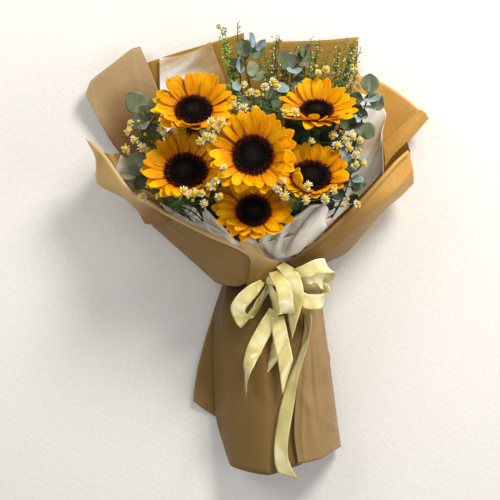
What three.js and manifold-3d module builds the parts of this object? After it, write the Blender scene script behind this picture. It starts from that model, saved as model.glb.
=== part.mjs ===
// A hand-tied bunch of sunflowers in kraft paper, lying on its back. Millimetres, +Z up, +Y towards the flowers.
// The origin is on the surface it rests on, under the middle of the bunch.
import * as THREE from "three";
import { mergeVertices } from "three/addons/utils/BufferGeometryUtils.js";
import Module from "manifold-3d";

// Driving dimensions.
const NECK_Y = -46; // the stems are tied here
const CUT_END_Y = -250; // the stems are cut here, inside the paper skirt
const CUT_END_SHIFT = 10; // the cut ends lean to +X of the neck
const HEAD_RADIUS = 52; // centre of a sunflower to its petal tips
const PETAL_LOBES = 13;
const PETAL_THICKNESS = 2.4;
const PETAL_CUP = 13; // the petal tips stand this far forward of the disc's edge
const DISC_RADIUS = 27;
const DISC_DEPTH = 12;
const CALYX_DEPTH = 20;
const SUNFLOWER_STEM = 11;
const EUCALYPTUS_STEM = 4;
const EUCALYPTUS_LEAF = 1.4; // thickness
const CHAMOMILE_STEM = 2.6;
const CHAMOMILE_HEAD = 16; // diameter over the ray florets
const CHAMOMILE_HEAD_DEPTH = 4;
const PENNYCRESS_STEM = 3;
const PENNYCRESS_POD = 7;
const PAPER = 0.8; // thickness of each kraft sheet
const LINER = 0.8;
const RIBBON_WIDTH = 22;
const RIBBON = 0.8;
const GAP = 0.5; // between pieces that touch

const wasm = await Module();
wasm.setup();

const bunch = new THREE.Group();

const finish = (color, roughness) => new THREE.MeshStandardMaterial({ color, roughness, metalness: 0 });
const STEM_GREEN = finish("#5c7a2e", 0.6);
const PETAL_GOLD = finish("#ffae0a", 0.55);
const DISC_BROWN = finish("#2e1512", 0.95);
const LEAF_GREEN = finish("#3d5a2a", 0.6);
const GLAUCOUS = finish("#6f8a7c", 0.65);
const CHAMOMILE_WHITE = finish("#f4f1e4", 0.7);
const POD_GREEN = finish("#8fae3c", 0.6);
const KRAFT = finish("#b98c55", 0.6);
const LINER_WHITE = finish("#e4dcd2", 0.8);
const SATIN_YELLOW = finish("#ece0a0", 0.3);
const TWINE = finish("#c8b48a", 0.9);

const point = (p) => new THREE.Vector3(...p);

function addPiece(name, geometry, material) {
  const mesh = new THREE.Mesh(geometry, material);
  mesh.name = name;
  bunch.add(mesh);
}

function solidOf(geometry) {
  const bare = geometry.index ? geometry.toNonIndexed() : geometry.clone();
  bare.deleteAttribute("normal");
  bare.deleteAttribute("uv");
  const merged = mergeVertices(bare, 1e-4);
  return new wasm.Manifold(
    new wasm.Mesh({
      numProp: 3,
      vertProperties: merged.attributes.position.array,
      triVerts: new Uint32Array(merged.index.array),
    }),
  );
}

// Joins solids that grew as one piece.
function joined(geometries) {
  const whole = geometries.map(solidOf).reduce((sum, next) => sum.add(next));
  const { vertProperties, triVerts } = whole.getMesh();
  const geometry = new THREE.BufferGeometry();
  geometry.setAttribute("position", new THREE.BufferAttribute(vertProperties, 3));
  geometry.setIndex(new THREE.BufferAttribute(triVerts, 1));
  return geometry;
}

// A round stalk along a smooth curve through the points.
function stalk(points, diameter, sides, steps) {
  const section = new THREE.Shape();
  for (let i = 0; i < sides; i++) {
    const angle = (i * 2 * Math.PI) / sides;
    const [x, y] = [(Math.cos(angle) * diameter) / 2, (Math.sin(angle) * diameter) / 2];
    if (i === 0) section.moveTo(x, y);
    else section.lineTo(x, y);
  }
  const extrudePath = new THREE.CatmullRomCurve3(points.map(point), false, "centripetal");
  return new THREE.ExtrudeGeometry(section, { steps, extrudePath });
}

// The stretch of a stem from its cut end to the tie, where it has its own place in the bundle.
const bundled = ([x, z]) => [
  [x + CUT_END_SHIFT, CUT_END_Y, z],
  [x + CUT_END_SHIFT / 2, (CUT_END_Y + NECK_Y) / 2, z],
  [x, NECK_Y, z],
];

// Sheets. A sheet is a grid of points in space, joined by a curve that never swings past them.

// The value at t along a row of values: cubic, with slopes that keep it between its neighbours.
function between(values, t) {
  const last = values.length - 1;
  const i = Math.min(Math.floor(t * last), last - 1);
  const u = t * last - i;
  const step = (k) => values[k + 1] - values[k];
  const slope = (k) => {
    if (k === 0) return step(0);
    if (k === last) return step(last - 1);
    const [before, after] = [step(k - 1), step(k)];
    return before * after > 0 ? (2 * before * after) / (before + after) : 0;
  };
  const [a, b] = [values[i], values[i + 1]];
  const [ma, mb] = [slope(i), slope(i + 1)];
  return (
    a * (1 + 2 * u) * (1 - u) ** 2 +
    ma * u * (1 - u) ** 2 +
    b * u * u * (3 - 2 * u) +
    mb * u * u * (u - 1)
  );
}

const pointBetween = (points, t) => [0, 1, 2].map((axis) => between(points.map((p) => p[axis]), t));

// A closed thin solid over a grid of points: rows run along the sheet, and each row runs across it.
function sheet(grid, thickness, across, along) {
  const count = [across + 1, along + 1];
  const middle = [];
  for (let j = 0; j < count[1]; j++) {
    const row = grid[0].map((_, c) => pointBetween(grid.map((r) => r[c]), j / along));
    for (let i = 0; i < count[0]; i++) middle.push(point(pointBetween(row, i / across)));
  }
  const at = (i, j) => middle[j * count[0] + i];
  const vertices = [];
  for (const side of [1, -1]) {
    for (let j = 0; j < count[1]; j++) {
      for (let i = 0; i < count[0]; i++) {
        const right = at(Math.min(i + 1, across), j).clone().sub(at(Math.max(i - 1, 0), j));
        const up = at(i, Math.min(j + 1, along)).clone().sub(at(i, Math.max(j - 1, 0)));
        const out = right.cross(up).normalize();
        const place = at(i, j).clone().addScaledVector(out, (side * thickness) / 2);
        vertices.push(place.x, place.y, place.z);
      }
    }
  }
  const under = count[0] * count[1];
  const index = [];
  const quad = (a, b, c, d) => index.push(a, b, c, a, c, d);
  for (let j = 0; j < along; j++) {
    for (let i = 0; i < across; i++) {
      const [a, b] = [j * count[0] + i, j * count[0] + i + 1];
      const [d, c] = [a + count[0], b + count[0]];
      quad(a, b, c, d);
      quad(under + a, under + d, under + c, under + b);
    }
  }
  const rim = [];
  for (let i = 0; i < across; i++) rim.push(i);
  for (let j = 0; j < along; j++) rim.push(j * count[0] + across);
  for (let i = across; i > 0; i--) rim.push(along * count[0] + i);
  for (let j = along; j > 0; j--) rim.push(j * count[0]);
  rim.forEach((a, k) => {
    const b = rim[(k + 1) % rim.length];
    quad(under + a, under + b, b, a);
  });
  const geometry = new THREE.BufferGeometry();
  geometry.setAttribute("position", new THREE.Float32BufferAttribute(vertices, 3));
  geometry.setIndex(index);
  return geometry;
}

// Sunflowers. Each head looks up and towards +Y by its tilt, and sits on a stem with its own place in the tie.
const SUNFLOWERS = [
  { at: [-89, 200, 145], tilt: 36, size: 1, neck: [6, 38], by: [-45, 80, 74] },
  { at: [-100, 114, 150], tilt: 30, size: 1, neck: [-1, 54], by: [-55, 30, 86] },
  { at: [-6, 134, 187], tilt: 10, size: 1.02, neck: [20, 49], by: [3, 66, 94] },
  { at: [85, 202, 125], tilt: 48, size: 0.96, neck: [34, 38], by: [64, 80, 66] },
  { at: [76, 107, 150], tilt: 40, size: 0.94, neck: [41, 54], by: [62, 25, 84] },
  { at: [-5, 58, 150], tilt: 25, size: 0.96, neck: [20, 63], by: [6, 4, 88] },
];

// Petals grow as one ring: a shallow cup with a scalloped edge, on the head's own axis.
function petalRing() {
  const [inner, outer] = [DISC_RADIUS + GAP, HEAD_RADIUS];
  const top = [
    [inner, -2],
    [inner + 10, PETAL_CUP * 0.35],
    [outer, PETAL_CUP],
  ];
  const under = top.map(([r, z]) => [r, z - PETAL_THICKNESS]).reverse();
  const profile = [...under, ...top, under[0]].map(([r, z]) => new THREE.Vector2(r, z));
  const ring = new THREE.LatheGeometry(profile.reverse(), PETAL_LOBES * 2);
  const place = ring.attributes.position;
  for (let i = 0; i < place.count; i++) {
    const [x, along, y] = [place.getX(i), place.getY(i), place.getZ(i)];
    const radius = Math.hypot(x, y);
    const lobe = Math.cos(Math.atan2(y, x) * PETAL_LOBES) * 0.07;
    const reach = 1 + (lobe * (radius - inner)) / (outer - inner) - (radius > inner + GAP ? 0.04 : 0);
    place.setXYZ(i, x * reach, along, y * reach);
  }
  return ring.rotateX(Math.PI / 2);
}

function disc() {
  const profile = [
    [0, -DISC_DEPTH / 2],
    [DISC_RADIUS - 3, -DISC_DEPTH / 2],
    [DISC_RADIUS, 0],
    [DISC_RADIUS - 4, DISC_DEPTH / 3],
    [0, DISC_DEPTH / 4],
  ];
  return new THREE.LatheGeometry(profile.map(([r, z]) => new THREE.Vector2(r, z)), 14).rotateX(Math.PI / 2);
}

function calyx() {
  const top = -DISC_DEPTH / 2 - GAP;
  const profile = [
    [0, top - CALYX_DEPTH],
    [9, top - CALYX_DEPTH],
    [22, top - CALYX_DEPTH * 0.55],
    [DISC_RADIUS + 2, top - 1],
    [DISC_RADIUS, top],
    [0, top],
  ];
  return new THREE.LatheGeometry(profile.map(([r, z]) => new THREE.Vector2(r, z)), 12).rotateX(Math.PI / 2);
}

SUNFLOWERS.forEach(({ at, tilt, size, neck, by }, i) => {
  const head = new THREE.Group();
  head.position.set(...at);
  head.rotation.x = THREE.MathUtils.degToRad(-tilt);
  head.scale.setScalar(size);
  head.updateMatrix();
  const below = (depth) => new THREE.Vector3(0, 0, -depth).applyMatrix4(head.matrix).toArray();
  const name = `sunflower_${i + 1}`;
  for (const [piece, geometry, material] of [
    ["petals", petalRing(), PETAL_GOLD],
    ["disc", disc(), DISC_BROWN],
  ]) {
    const mesh = new THREE.Mesh(geometry, material);
    mesh.name = `${name}_${piece}`;
    head.add(mesh);
  }
  bunch.add(head);
  const path = [...bundled(neck), by, below(50), below(CALYX_DEPTH)];
  const stem = stalk(path, SUNFLOWER_STEM, 6, 10);
  addPiece(`${name}_stem`, joined([stem, calyx().applyMatrix4(head.matrix)]), STEM_GREEN);
});

// Two broad sunflower leaves, cut with a short stalk and tucked under the heads.
const SUNFLOWER_LEAVES = [
  [
    [[60, 120, 92], [66, 121, 93], [72, 122, 92]],
    [[66, 148, 98], [86, 150, 102], [106, 146, 98]],
    [[92, 168, 104], [108, 166, 107], [120, 158, 104]],
    [[118, 178, 106], [124, 176, 107], [128, 172, 106]],
  ],
  [
    [[-36, 40, 106], [-32, 36, 107], [-28, 32, 106]],
    [[-56, 54, 112], [-48, 46, 114], [-40, 38, 112]],
    [[-66, 58, 112], [-62, 50, 114], [-52, 42, 112]],
    [[-74, 56, 110], [-72, 52, 111], [-68, 48, 110]],
  ],
];
SUNFLOWER_LEAVES.forEach((grid, i) => {
  addPiece(`sunflower_leaf_${i + 1}`, sheet(grid, 1, 3, 5), LEAF_GREEN);
});

// Eucalyptus: a thin stalk with round leaves set on it. Each leaf is its middle, its radius and the way it faces.
const EUCALYPTUS = [
  {
    neck: [-7, 43],
    path: [[-70, 60, 58], [-128, 150, 82], [-158, 196, 98]],
    leaves: [
      { at: [-174, 216, 104], radius: 17, faces: [-0.2, 0.2, 1] },
      { at: [-152, 204, 108], radius: 15, faces: [0.3, 0.1, 1] },
      { at: [-154, 176, 94], radius: 14, faces: [-0.5, -0.3, 1] },
      { at: [-122, 158, 84], radius: 13, faces: [0.4, 0.4, 1] },
    ],
  },
  {
    neck: [-11, 52],
    path: [[-84, 34, 68], [-140, 96, 86], [-162, 120, 94]],
    leaves: [
      { at: [-171, 128, 100], radius: 18, faces: [-0.1, 0.1, 1] },
      { at: [-160, 104, 88], radius: 14, faces: [-0.4, -0.4, 1] },
      { at: [-132, 96, 88], radius: 13, faces: [0.4, 0.3, 1] },
    ],
  },
  {
    neck: [16, 30],
    path: [[8, 100, 40], [0, 200, 58], [-14, 262, 68], [-18, 284, 72]],
    leaves: [
      { at: [-20, 298, 76], radius: 13, faces: [0.1, 0.2, 1] },
      { at: [-30, 272, 74], radius: 13, faces: [-0.5, 0, 1] },
      { at: [-2, 262, 72], radius: 14, faces: [0.4, 0.2, 1] },
      { at: [14, 214, 66], radius: 15, faces: [0.3, -0.2, 1] },
    ],
  },
  {
    neck: [26, 30],
    path: [[36, 100, 40], [46, 200, 54], [52, 262, 62], [54, 272, 64]],
    leaves: [
      { at: [44, 282, 68], radius: 16, faces: [-0.3, 0.2, 1] },
      { at: [68, 284, 70], radius: 13, faces: [0.5, 0.1, 1] },
      { at: [62, 250, 64], radius: 13, faces: [0.4, -0.4, 1] },
      { at: [34, 232, 62], radius: 13, faces: [-0.4, -0.2, 1] },
    ],
  },
  {
    neck: [47, 43],
    path: [[100, 60, 60], [140, 150, 82], [156, 210, 96], [160, 228, 100]],
    leaves: [
      { at: [162, 243, 104], radius: 14, faces: [0.1, 0.2, 1] },
      { at: [172, 216, 98], radius: 13, faces: [0.6, 0.1, 1] },
      { at: [142, 204, 94], radius: 13, faces: [-0.5, 0.3, 1] },
      { at: [160, 176, 90], radius: 13, faces: [0.5, -0.2, 1] },
      { at: [130, 158, 86], radius: 13, faces: [-0.4, 0.2, 1] },
    ],
  },
  {
    neck: [51, 52],
    path: [[96, 30, 78], [124, 80, 104], [134, 112, 118]],
    leaves: [
      { at: [136, 126, 124], radius: 13, faces: [0.1, 0.3, 1] },
      { at: [144, 100, 114], radius: 12, faces: [0.5, 0, 1] },
      { at: [116, 86, 108], radius: 11, faces: [-0.3, -0.3, 1] },
    ],
  },
];

function roundLeaf({ at, radius, faces }, curve) {
  const leaf = new THREE.CylinderGeometry(radius, radius * 0.96, EUCALYPTUS_LEAF, 8).rotateX(Math.PI / 2);
  const turn = new THREE.Quaternion().setFromUnitVectors(new THREE.Vector3(0, 0, 1), point(faces).normalize());
  const away = (p) => p.distanceTo(point(at));
  const foot = curve.getPoints(40).reduce((best, p) => (away(p) < away(best) ? p : best));
  return [
    leaf.applyQuaternion(turn).translate(...at),
    stalk([foot.toArray(), at], EUCALYPTUS_LEAF * 1.5, 4, 1),
  ];
}

EUCALYPTUS.forEach(({ neck, path, leaves }, i) => {
  const route = [...bundled(neck), ...path];
  const curve = new THREE.CatmullRomCurve3(path.map(point), false, "centripetal");
  const pieces = [stalk(route, EUCALYPTUS_STEM, 5, 9), ...leaves.flatMap((leaf) => roundLeaf(leaf, curve))];
  addPiece(`eucalyptus_sprig_${i + 1}`, joined(pieces), GLAUCOUS);
});

// Chamomile: a thin stalk that forks into small daisy heads.
const CHAMOMILE = [
  {
    neck: [-8, 60],
    path: [[-60, 20, 76], [-140, 148, 106], [-162, 160, 116]],
    heads: [[-182, 182, 122], [-174, 158, 128], [-166, 186, 120], [-186, 148, 124], [-162, 150, 136]],
  },
  {
    neck: [3, 63],
    path: [[-44, 2, 86], [-84, 52, 104], [-108, 66, 140], [-116, 66, 186]],
    heads: [[-158, 76, 140], [-140, 82, 156], [-102, 82, 200], [-76, 78, 202], [-62, 66, 192]],
  },
  {
    neck: [11, 58],
    path: [[-26, 40, 92], [-44, 122, 112], [-56, 156, 146], [-63, 155, 184]],
    heads: [[-74, 158, 204], [-60, 160, 208], [-78, 148, 202], [-70, 178, 204], [-50, 178, 206]],
  },
  {
    neck: [18, 36],
    path: [[10, 60, 50], [2, 150, 76], [8, 196, 110], [6, 206, 140]],
    heads: [[-32, 204, 158], [-16, 206, 164], [-16, 240, 128], [16, 244, 124], [40, 206, 168]],
  },
  {
    neck: [29, 60],
    path: [[42, 0, 82], [52, 30, 100], [56, 46, 140], [54, 50, 196]],
    heads: [[34, 98, 222], [38, 78, 216], [68, 72, 212], [92, 74, 210], [66, 92, 216]],
  },
  {
    neck: [50, 60],
    path: [[96, 62, 92], [132, 146, 118], [138, 158, 130]],
    heads: [[110, 168, 140], [114, 152, 144], [134, 160, 148], [138, 138, 146], [150, 126, 140]],
  },
];

// A small head and the twig that carries it, from the top of the stalk.
function twigAndHead(from, to) {
  const twig = stalk([from.toArray(), to.toArray()], CHAMOMILE_STEM * 0.8, 4, 1);
  const [wide, deep] = [CHAMOMILE_HEAD / 2, CHAMOMILE_HEAD_DEPTH];
  const head = new THREE.CylinderGeometry(wide, wide * 0.7, deep, 6).rotateX(Math.PI / 2);
  return [twig, head.translate(to.x, to.y, to.z)];
}

CHAMOMILE.forEach(({ neck, path, heads }, i) => {
  const top = point(path[path.length - 1]).lerp(point(path[path.length - 2]), 0.1);
  const stem = stalk([...bundled(neck), ...path], CHAMOMILE_STEM, 4, 9);
  const pieces = [stem, ...heads.flatMap((head) => twigAndHead(top, point(head)))];
  addPiece(`chamomile_spray_${i + 1}`, joined(pieces), CHAMOMILE_WHITE);
});

// Pennycress: upright stalks with flat pods on short side shoots.
const PENNYCRESS = [
  { neck: [10, 28], path: [[-4, 100, 34], [-20, 220, 50], [-28, 300, 62], [-28, 336, 68]], side: 1 },
  { neck: [21, 24], path: [[21, 100, 30], [24, 220, 42], [28, 296, 54], [29, 312, 56]], side: -1 },
  { neck: [32, 28], path: [[54, 100, 32], [76, 220, 44], [88, 290, 56], [90, 308, 58]], side: 1 },
  { neck: [38, 30], path: [[80, 100, 36], [116, 220, 50], [136, 286, 60], [140, 306, 62]], side: 1 },
];
const SHOOTS = 4;

PENNYCRESS.forEach(({ neck, path, side }, i) => {
  const pieces = [stalk([...bundled(neck), ...path], PENNYCRESS_STEM, 4, 9)];
  const tip = new THREE.CatmullRomCurve3(path.slice(1).map(point), false, "centripetal");
  for (let k = 0; k <= SHOOTS; k++) {
    const foot = tip.getPoint(0.35 + (0.62 * k) / SHOOTS);
    const lean = k === SHOOTS ? 0 : side * (k % 2 ? 1 : -1) * (11 - k);
    const end = foot.clone().add(new THREE.Vector3(lean, 8, 3));
    pieces.push(stalk([foot.toArray(), end.toArray()], PENNYCRESS_STEM * 0.6, 4, 1));
    const pod = new THREE.CylinderGeometry(PENNYCRESS_POD / 2, PENNYCRESS_POD / 2, 2.4, 6);
    pieces.push(pod.rotateX(Math.PI / 2).translate(end.x, end.y, end.z));
  }
  addPiece(`pennycress_spray_${i + 1}`, joined(pieces), POD_GREEN);
});

// The tie round the stems: a flattened ring of twine inside the paper.
const TIE = { x: 20, z: 46, halfWidth: 44, halfHeight: 32, cord: 5 };
function twineRing() {
  const turns = 22;
  const ring = new THREE.TorusGeometry(1, 0.001, 6, turns);
  const place = ring.attributes.position;
  const sides = 6;
  for (let j = 0; j <= sides; j++) {
    for (let i = 0; i <= turns; i++) {
      const around = (i / turns) * 2 * Math.PI;
      const section = (j / sides) * 2 * Math.PI;
      const out = (TIE.cord / 2) * Math.cos(section);
      place.setXYZ(
        j * (turns + 1) + i,
        TIE.x + (TIE.halfWidth + out) * Math.cos(around),
        NECK_Y - TIE.cord * Math.sin(section),
        TIE.z + (TIE.halfHeight + out) * Math.sin(around),
      );
    }
  }
  return ring;
}
addPiece("binding_twine", twineRing(), TWINE);

// Kraft sheets behind the flowers. Rows run from the neck outwards, and each row from left to right.
const BACK_SHEETS = {
  kraft_back_left: [
    [[-25, -48, 8.4], [-18, -48, 8.4], [-12, -48, 8.4], [-5, -48, 8.4], [2, -48, 8.4]],
    [[-110, 54, 8.5], [-96, 62, 8.5], [-80, 70, 8.5], [-62, 78, 8.5], [-43, 82, 8.5]],
    [[-216, 163, 15], [-202, 169, 11], [-178, 179, 9], [-150, 188, 8.5], [-123, 194, 8.5]],
    [[-256, 237, 26], [-249, 256, 26], [-216, 283, 24], [-187, 306, 20], [-175, 310, 17]],
  ],
  kraft_back_centre_left: [
    [[-16, -48, 7], [-6, -48, 7], [5, -48, 7], [15, -48, 7]],
    [[-85, 80, 6.9], [-58, 85, 6.9], [-31, 88, 6.9], [-4, 88, 6.9]],
    [[-149, 193, 6.5], [-107, 213, 6.5], [-61, 225, 6.5], [-16, 228, 6.5]],
    [[-172, 284, 10], [-123, 300, 13], [-70, 315, 15], [-19, 331, 13]],
  ],
  kraft_back_centre_right: [
    [[-6, -48, 5.6], [4, -48, 5.6], [14, -48, 5.6], [25, -48, 5.6]],
    [[-10, 87, 5.2], [23, 92, 4.8], [60, 92, 4.4], [96, 88, 4]],
    [[-19, 215, 3.4], [36, 224, 3], [93, 224, 2.6], [147, 218, 2.4]],
    [[-25, 312, 5], [28, 318, 8], [93, 320, 9], [154, 325, 10]],
  ],
  kraft_back_right: [
    [[22, -48, 7], [28, -48, 7], [34, -47, 7.3], [40, -46, 7.6]],
    [[90, 62, 6.2], [108, 60, 6], [124, 56, 8], [140, 52, 12]],
    [[123, 170, 5.5], [157, 161, 6], [192, 148, 12], [222, 160, 32]],
    [[136, 272, 6], [184, 259, 9], [227, 229, 20], [254, 201, 34]],
  ],
  liner_back_left: [
    [[-30, -40, 14], [-15, -40, 14], [0, -40, 14], [12, -40, 14]],
    [[-116, 72, 12], [-86, 82, 12], [-55, 92, 12], [-25, 94, 12]],
    [[-145, 203, 13], [-112, 218, 13], [-76, 227, 13], [-40, 230, 13]],
    [[-146, 292, 18], [-121, 302, 20], [-93, 309, 21], [-69, 317, 20]],
  ],
  liner_back_right: [
    [[26, -40, 13], [38, -40, 13], [50, -36, 14], [60, -28, 20]],
    [[92, 56, 12], [112, 56, 14], [128, 50, 26], [138, 44, 50]],
    [[124, 152, 12], [146, 150, 16], [166, 140, 34], [180, 118, 76]],
    [[150, 242, 14], [176, 231, 20], [193, 206, 34], [184, 178, 50]],
  ],
};
const BACK_CELLS = [6, 6];
for (const [name, grid] of Object.entries(BACK_SHEETS)) {
  const isLiner = name.startsWith("liner");
  const [thickness, material] = isLiner ? [LINER, LINER_WHITE] : [PAPER, KRAFT];
  addPiece(name, sheet(grid, thickness, ...BACK_CELLS), material);
}

// Flaps that come up round the sides and over the front. Rows run from the neck outwards, and each row
// from under the bunch, out to its side and up to the rim.
const FLAPS = {
  kraft_right_flap: [
    [[24, -20, 0.4], [78, -18, 0.4], [100, -16, 50], [66, -24, 93], [34, -18, 103]],
    [[22, 4, 0.4], [96, 2, 0.4], [129, -3, 46], [106, 4, 88], [78, 9, 110]],
    [[50, 78, 0.4], [146, 50, 0.4], [192, 65, 46], [165, 64, 86], [134, 58, 118]],
    [[88, 110, 0.4], [176, 82, 1], [214, 84, 48], [198, 90, 86], [182, 110, 112]],
    [[118, 155, 0.4], [206, 116, 9], [232, 103, 50], [224, 132, 76], [218, 159, 92]],
  ],
  kraft_front_left_flap: [
    [[14, -22, 0.4], [-52, -30, 0.4], [-61, -44, 48], [-28, -49, 96], [18, -22, 104]],
    [[-8, -10, 0.4], [-74, -8, 0.4], [-90, -18, 46], [-50, -14, 93], [-24, 6, 110]],
    [[-26, 30, 0.4], [-106, 26, 0.4], [-125, 13, 44], [-97, 14, 86], [-70, 26, 114]],
    [[-48, 72, 0.4], [-136, 62, 0.4], [-156, 40, 44], [-136, 46, 84], [-126, 52, 112]],
  ],
  kraft_left_flap: [
    [[-20, -6, 4.4], [-62, -6, 4.4], [-66, -2, 42], [-50, 4, 80], [-60, 0, 64]],
    [[-48, 32, 4.4], [-97, 30, 4.4], [-104, 33, 44], [-88, 28, 92], [-100, 24, 62]],
    [[-78, 86, 3.8], [-137, 78, 4], [-140, 68, 50], [-134, 60, 108], [-158, 48, 62]],
    [[-108, 112, 3.6], [-176, 98, 4.2], [-178, 90, 52], [-176, 80, 114], [-192, 77, 60]],
    [[-140, 136, 3.6], [-210, 130, 5], [-217, 128, 56], [-216, 136, 110], [-236, 106, 58]],
    [[-156, 156, 4], [-219, 149, 8], [-226, 147, 60], [-247, 165, 100], [-232, 134, 64]],
  ],
  liner_front: [
    [[-28, -10, 92], [-8, -15, 94], [14, -17, 96], [34, -15, 95], [50, -9, 91]],
    [[-70, 36, 104], [-36, 16, 102], [8, 2, 102], [54, 10, 102], [86, 32, 96]],
    [[-124, 66, 96], [-60, 35, 119], [-10, 13, 115], [62, 28, 128], [112, 58, 110]],
  ],
};
const FLAP_CELLS = {
  kraft_right_flap: [9, 7],
  kraft_front_left_flap: [9, 6],
  kraft_left_flap: [9, 8],
  liner_front: [8, 4],
};
for (const [name, grid] of Object.entries(FLAPS)) {
  const material = name.startsWith("liner") ? LINER_WHITE : KRAFT;
  addPiece(name, sheet(grid, PAPER, ...FLAP_CELLS[name]), material);
}

// The skirt of kraft round the stems. Rows run from the neck to the hem.
const SKIRT = {
  skirt_back: [
    [[-40, -30, 2.4], [0, -30, 2.4], [46, -30, 2.4], [94, -30, 2.4]],
    [[-41, -62, 2.4], [0, -62, 2.4], [46, -62, 2.4], [94, -62, 2.4]],
    [[-64, -98, 8], [-10, -98, 0.4], [50, -98, 0.4], [97, -98, 7]],
    [[-89, -180, 9], [-24, -180, 0.4], [58, -180, 0.4], [107, -180, 7]],
    [[-95, -222, 9], [-62, -248, 3], [50, -284, 0.4], [113, -280, 7]],
  ],
  skirt_front_left: [
    [[-46, -30, 16], [-40, -30, 70], [8, -30, 86], [52, -30, 79]],
    [[-47, -61, 15], [-40, -61, 68], [8, -61, 86], [60, -61, 79]],
    [[-62, -90, 14], [-43, -88, 62], [8, -86, 86], [66, -86, 78]],
    [[-66, -144, 13], [-41, -142, 58], [8, -140, 86], [68, -140, 76]],
    [[-63, -234, 12], [-35, -232, 54], [14, -228, 83], [66, -228, 72]],
    [[-46, -304, 10], [-24, -322, 50], [14, -324, 80], [58, -311, 68]],
  ],
  skirt_front_right: [
    [[50, -30, 86], [74, -30, 72], [92, -30, 44], [96, -30, 16]],
    [[58, -61, 88], [78, -61, 72], [93, -61, 44], [97, -61, 15]],
    [[64, -96, 89], [81, -96, 72], [96, -96, 44], [101, -96, 14]],
    [[66, -172, 89], [86, -174, 74], [105, -176, 46], [112, -178, 14]],
    [[61, -256, 88], [89, -256, 74], [113, -254, 46], [122, -256, 13]],
    [[60, -308, 84], [91, -302, 72], [113, -294, 46], [127, -292, 13]],
  ],
};
const SKIRT_CELLS = [7, 7];
for (const [name, grid] of Object.entries(SKIRT)) {
  const facing = grid.map((row) => [...row].reverse());
  addPiece(name, sheet(facing, PAPER, ...SKIRT_CELLS), KRAFT);
}

// The satin ribbon: a band round the neck, a knot, loops and tails.
const BAND = { left: -54, right: 105, top: 92, lowCorner: 10, highCorner: 40, y: -34 };
function bandOutline(inset) {
  const [left, right] = [BAND.left + inset, BAND.right - inset];
  const [low, high] = [inset, BAND.top - inset];
  const [small, large] = [BAND.lowCorner - inset, BAND.highCorner - inset];
  const path = new THREE.Path();
  path.moveTo(left + small, low);
  path.lineTo(right - small, low);
  path.absarc(right - small, low + small, small, -Math.PI / 2, 0);
  path.lineTo(right, high - large);
  path.absarc(right - large, high - large, large, 0, Math.PI / 2);
  path.lineTo(left + large, high);
  path.absarc(left + large, high - large, large, Math.PI / 2, Math.PI);
  path.lineTo(left, low + small);
  path.absarc(left + small, low + small, small, Math.PI, 1.5 * Math.PI);
  return path.getPoints(4);
}
function ribbonBand() {
  const ring = new THREE.Shape(bandOutline(0));
  ring.holes.push(new THREE.Path(bandOutline(RIBBON)));
  const band = new THREE.ExtrudeGeometry(ring, { depth: RIBBON_WIDTH, bevelEnabled: false, steps: 1 });
  return band.rotateX(Math.PI / 2).translate(0, BAND.y, 0);
}
addPiece("ribbon_band", ribbonBand(), SATIN_YELLOW);

const KNOT = { at: [22, -42, 103], half: [14, 12, 9] };
const knot = new THREE.SphereGeometry(1, 10, 7).scale(...KNOT.half).translate(...KNOT.at);
addPiece("ribbon_knot", knot, SATIN_YELLOW);

// A ribbon strip: places along its middle, each with the direction across it.
function strip(places, cells) {
  const grid = places.map(([middle, across]) => {
    const half = point(across).setLength(RIBBON_WIDTH / 2);
    return [point(middle).sub(half).toArray(), point(middle).add(half).toArray()];
  });
  return sheet(grid, RIBBON, 1, cells);
}

// A loop of ribbon: out from its root at one height, round its end and back below.
const LOOP_WAY = [
  [0, 0.35],
  [0.42, 1],
  [0.82, 0.95],
  [1, 0.42],
  [0.82, 0],
  [0.42, -0.1],
  [0, 0],
];
const LOOPS = {
  ribbon_loop_left: { root: [5, -39, 106], end: [-34, -86, 105], across: [0.55, -0.83, 0], height: 14 },
  ribbon_loop_left_low: { root: [-2, -62, 95], end: [-16, -108, 92], across: [0.95, -0.25, 0], height: 7 },
  ribbon_loop_front: { root: [27, -58, 107], end: [34, -93, 103], across: [1, 0.15, 0], height: 13 },
  ribbon_loop_right: { root: [40, -31, 108], end: [106, -18, 106], across: [0.3, -0.95, 0], height: 14 },
  ribbon_loop_right_low: { root: [42, -57, 98], end: [104, -72, 96], across: [0.24, 0.97, 0], height: 11 },
};
for (const [name, { root, end, across, height }] of Object.entries(LOOPS)) {
  const places = LOOP_WAY.map(([out, up]) => {
    const middle = point(root).lerp(point(end), out);
    middle.z += up * height;
    return [middle.toArray(), across];
  });
  addPiece(name, strip(places, 12), SATIN_YELLOW);
}

const TAILS = {
  ribbon_tail_left: [
    [[12, -68, 91], [0.9, -0.4, 0]],
    [[2, -127, 90], [0.9, -0.4, 0]],
    [[-13, -172, 89], [0.95, -0.3, 0]],
    [[-17, -206, 88.5], [1, -0.1, 0]],
  ],
  ribbon_tail_middle: [
    [[30, -62, 100], [1, 0.1, 0]],
    [[34, -110, 98], [1, 0.1, 0]],
    [[40, -160, 97], [1, 0.1, 0]],
    [[42, -204, 96], [1, 0.1, 0]],
  ],
  ribbon_tail_long: [
    [[58, -78, 93.5], [1, 0.3, 0]],
    [[70, -112, 94], [1, 0, 0]],
    [[60, -156, 94], [0.9, -0.3, 0]],
    [[38, -235, 93], [0.95, -0.2, 0]],
    [[30, -306, 91], [1, 0.1, 0]],
    [[47, -337, 82], [0.9, 0.4, 0]],
  ],
};
for (const [name, places] of Object.entries(TAILS)) addPiece(name, strip(places, 8), SATIN_YELLOW);

export default bunch;
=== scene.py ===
"""A hand-tied bunch of sunflowers in kraft paper, lying on its back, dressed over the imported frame.

Metres, +Z up, +Y towards the flowers. The tables of points are in millimetres and match the CAD solids. In a table
that is a text, commas part the points and semicolons part the rows.
"""

import itertools
import math
import random
from collections import namedtuple

import bmesh
import bpy
from mathutils import Matrix, Vector, noise


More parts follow.
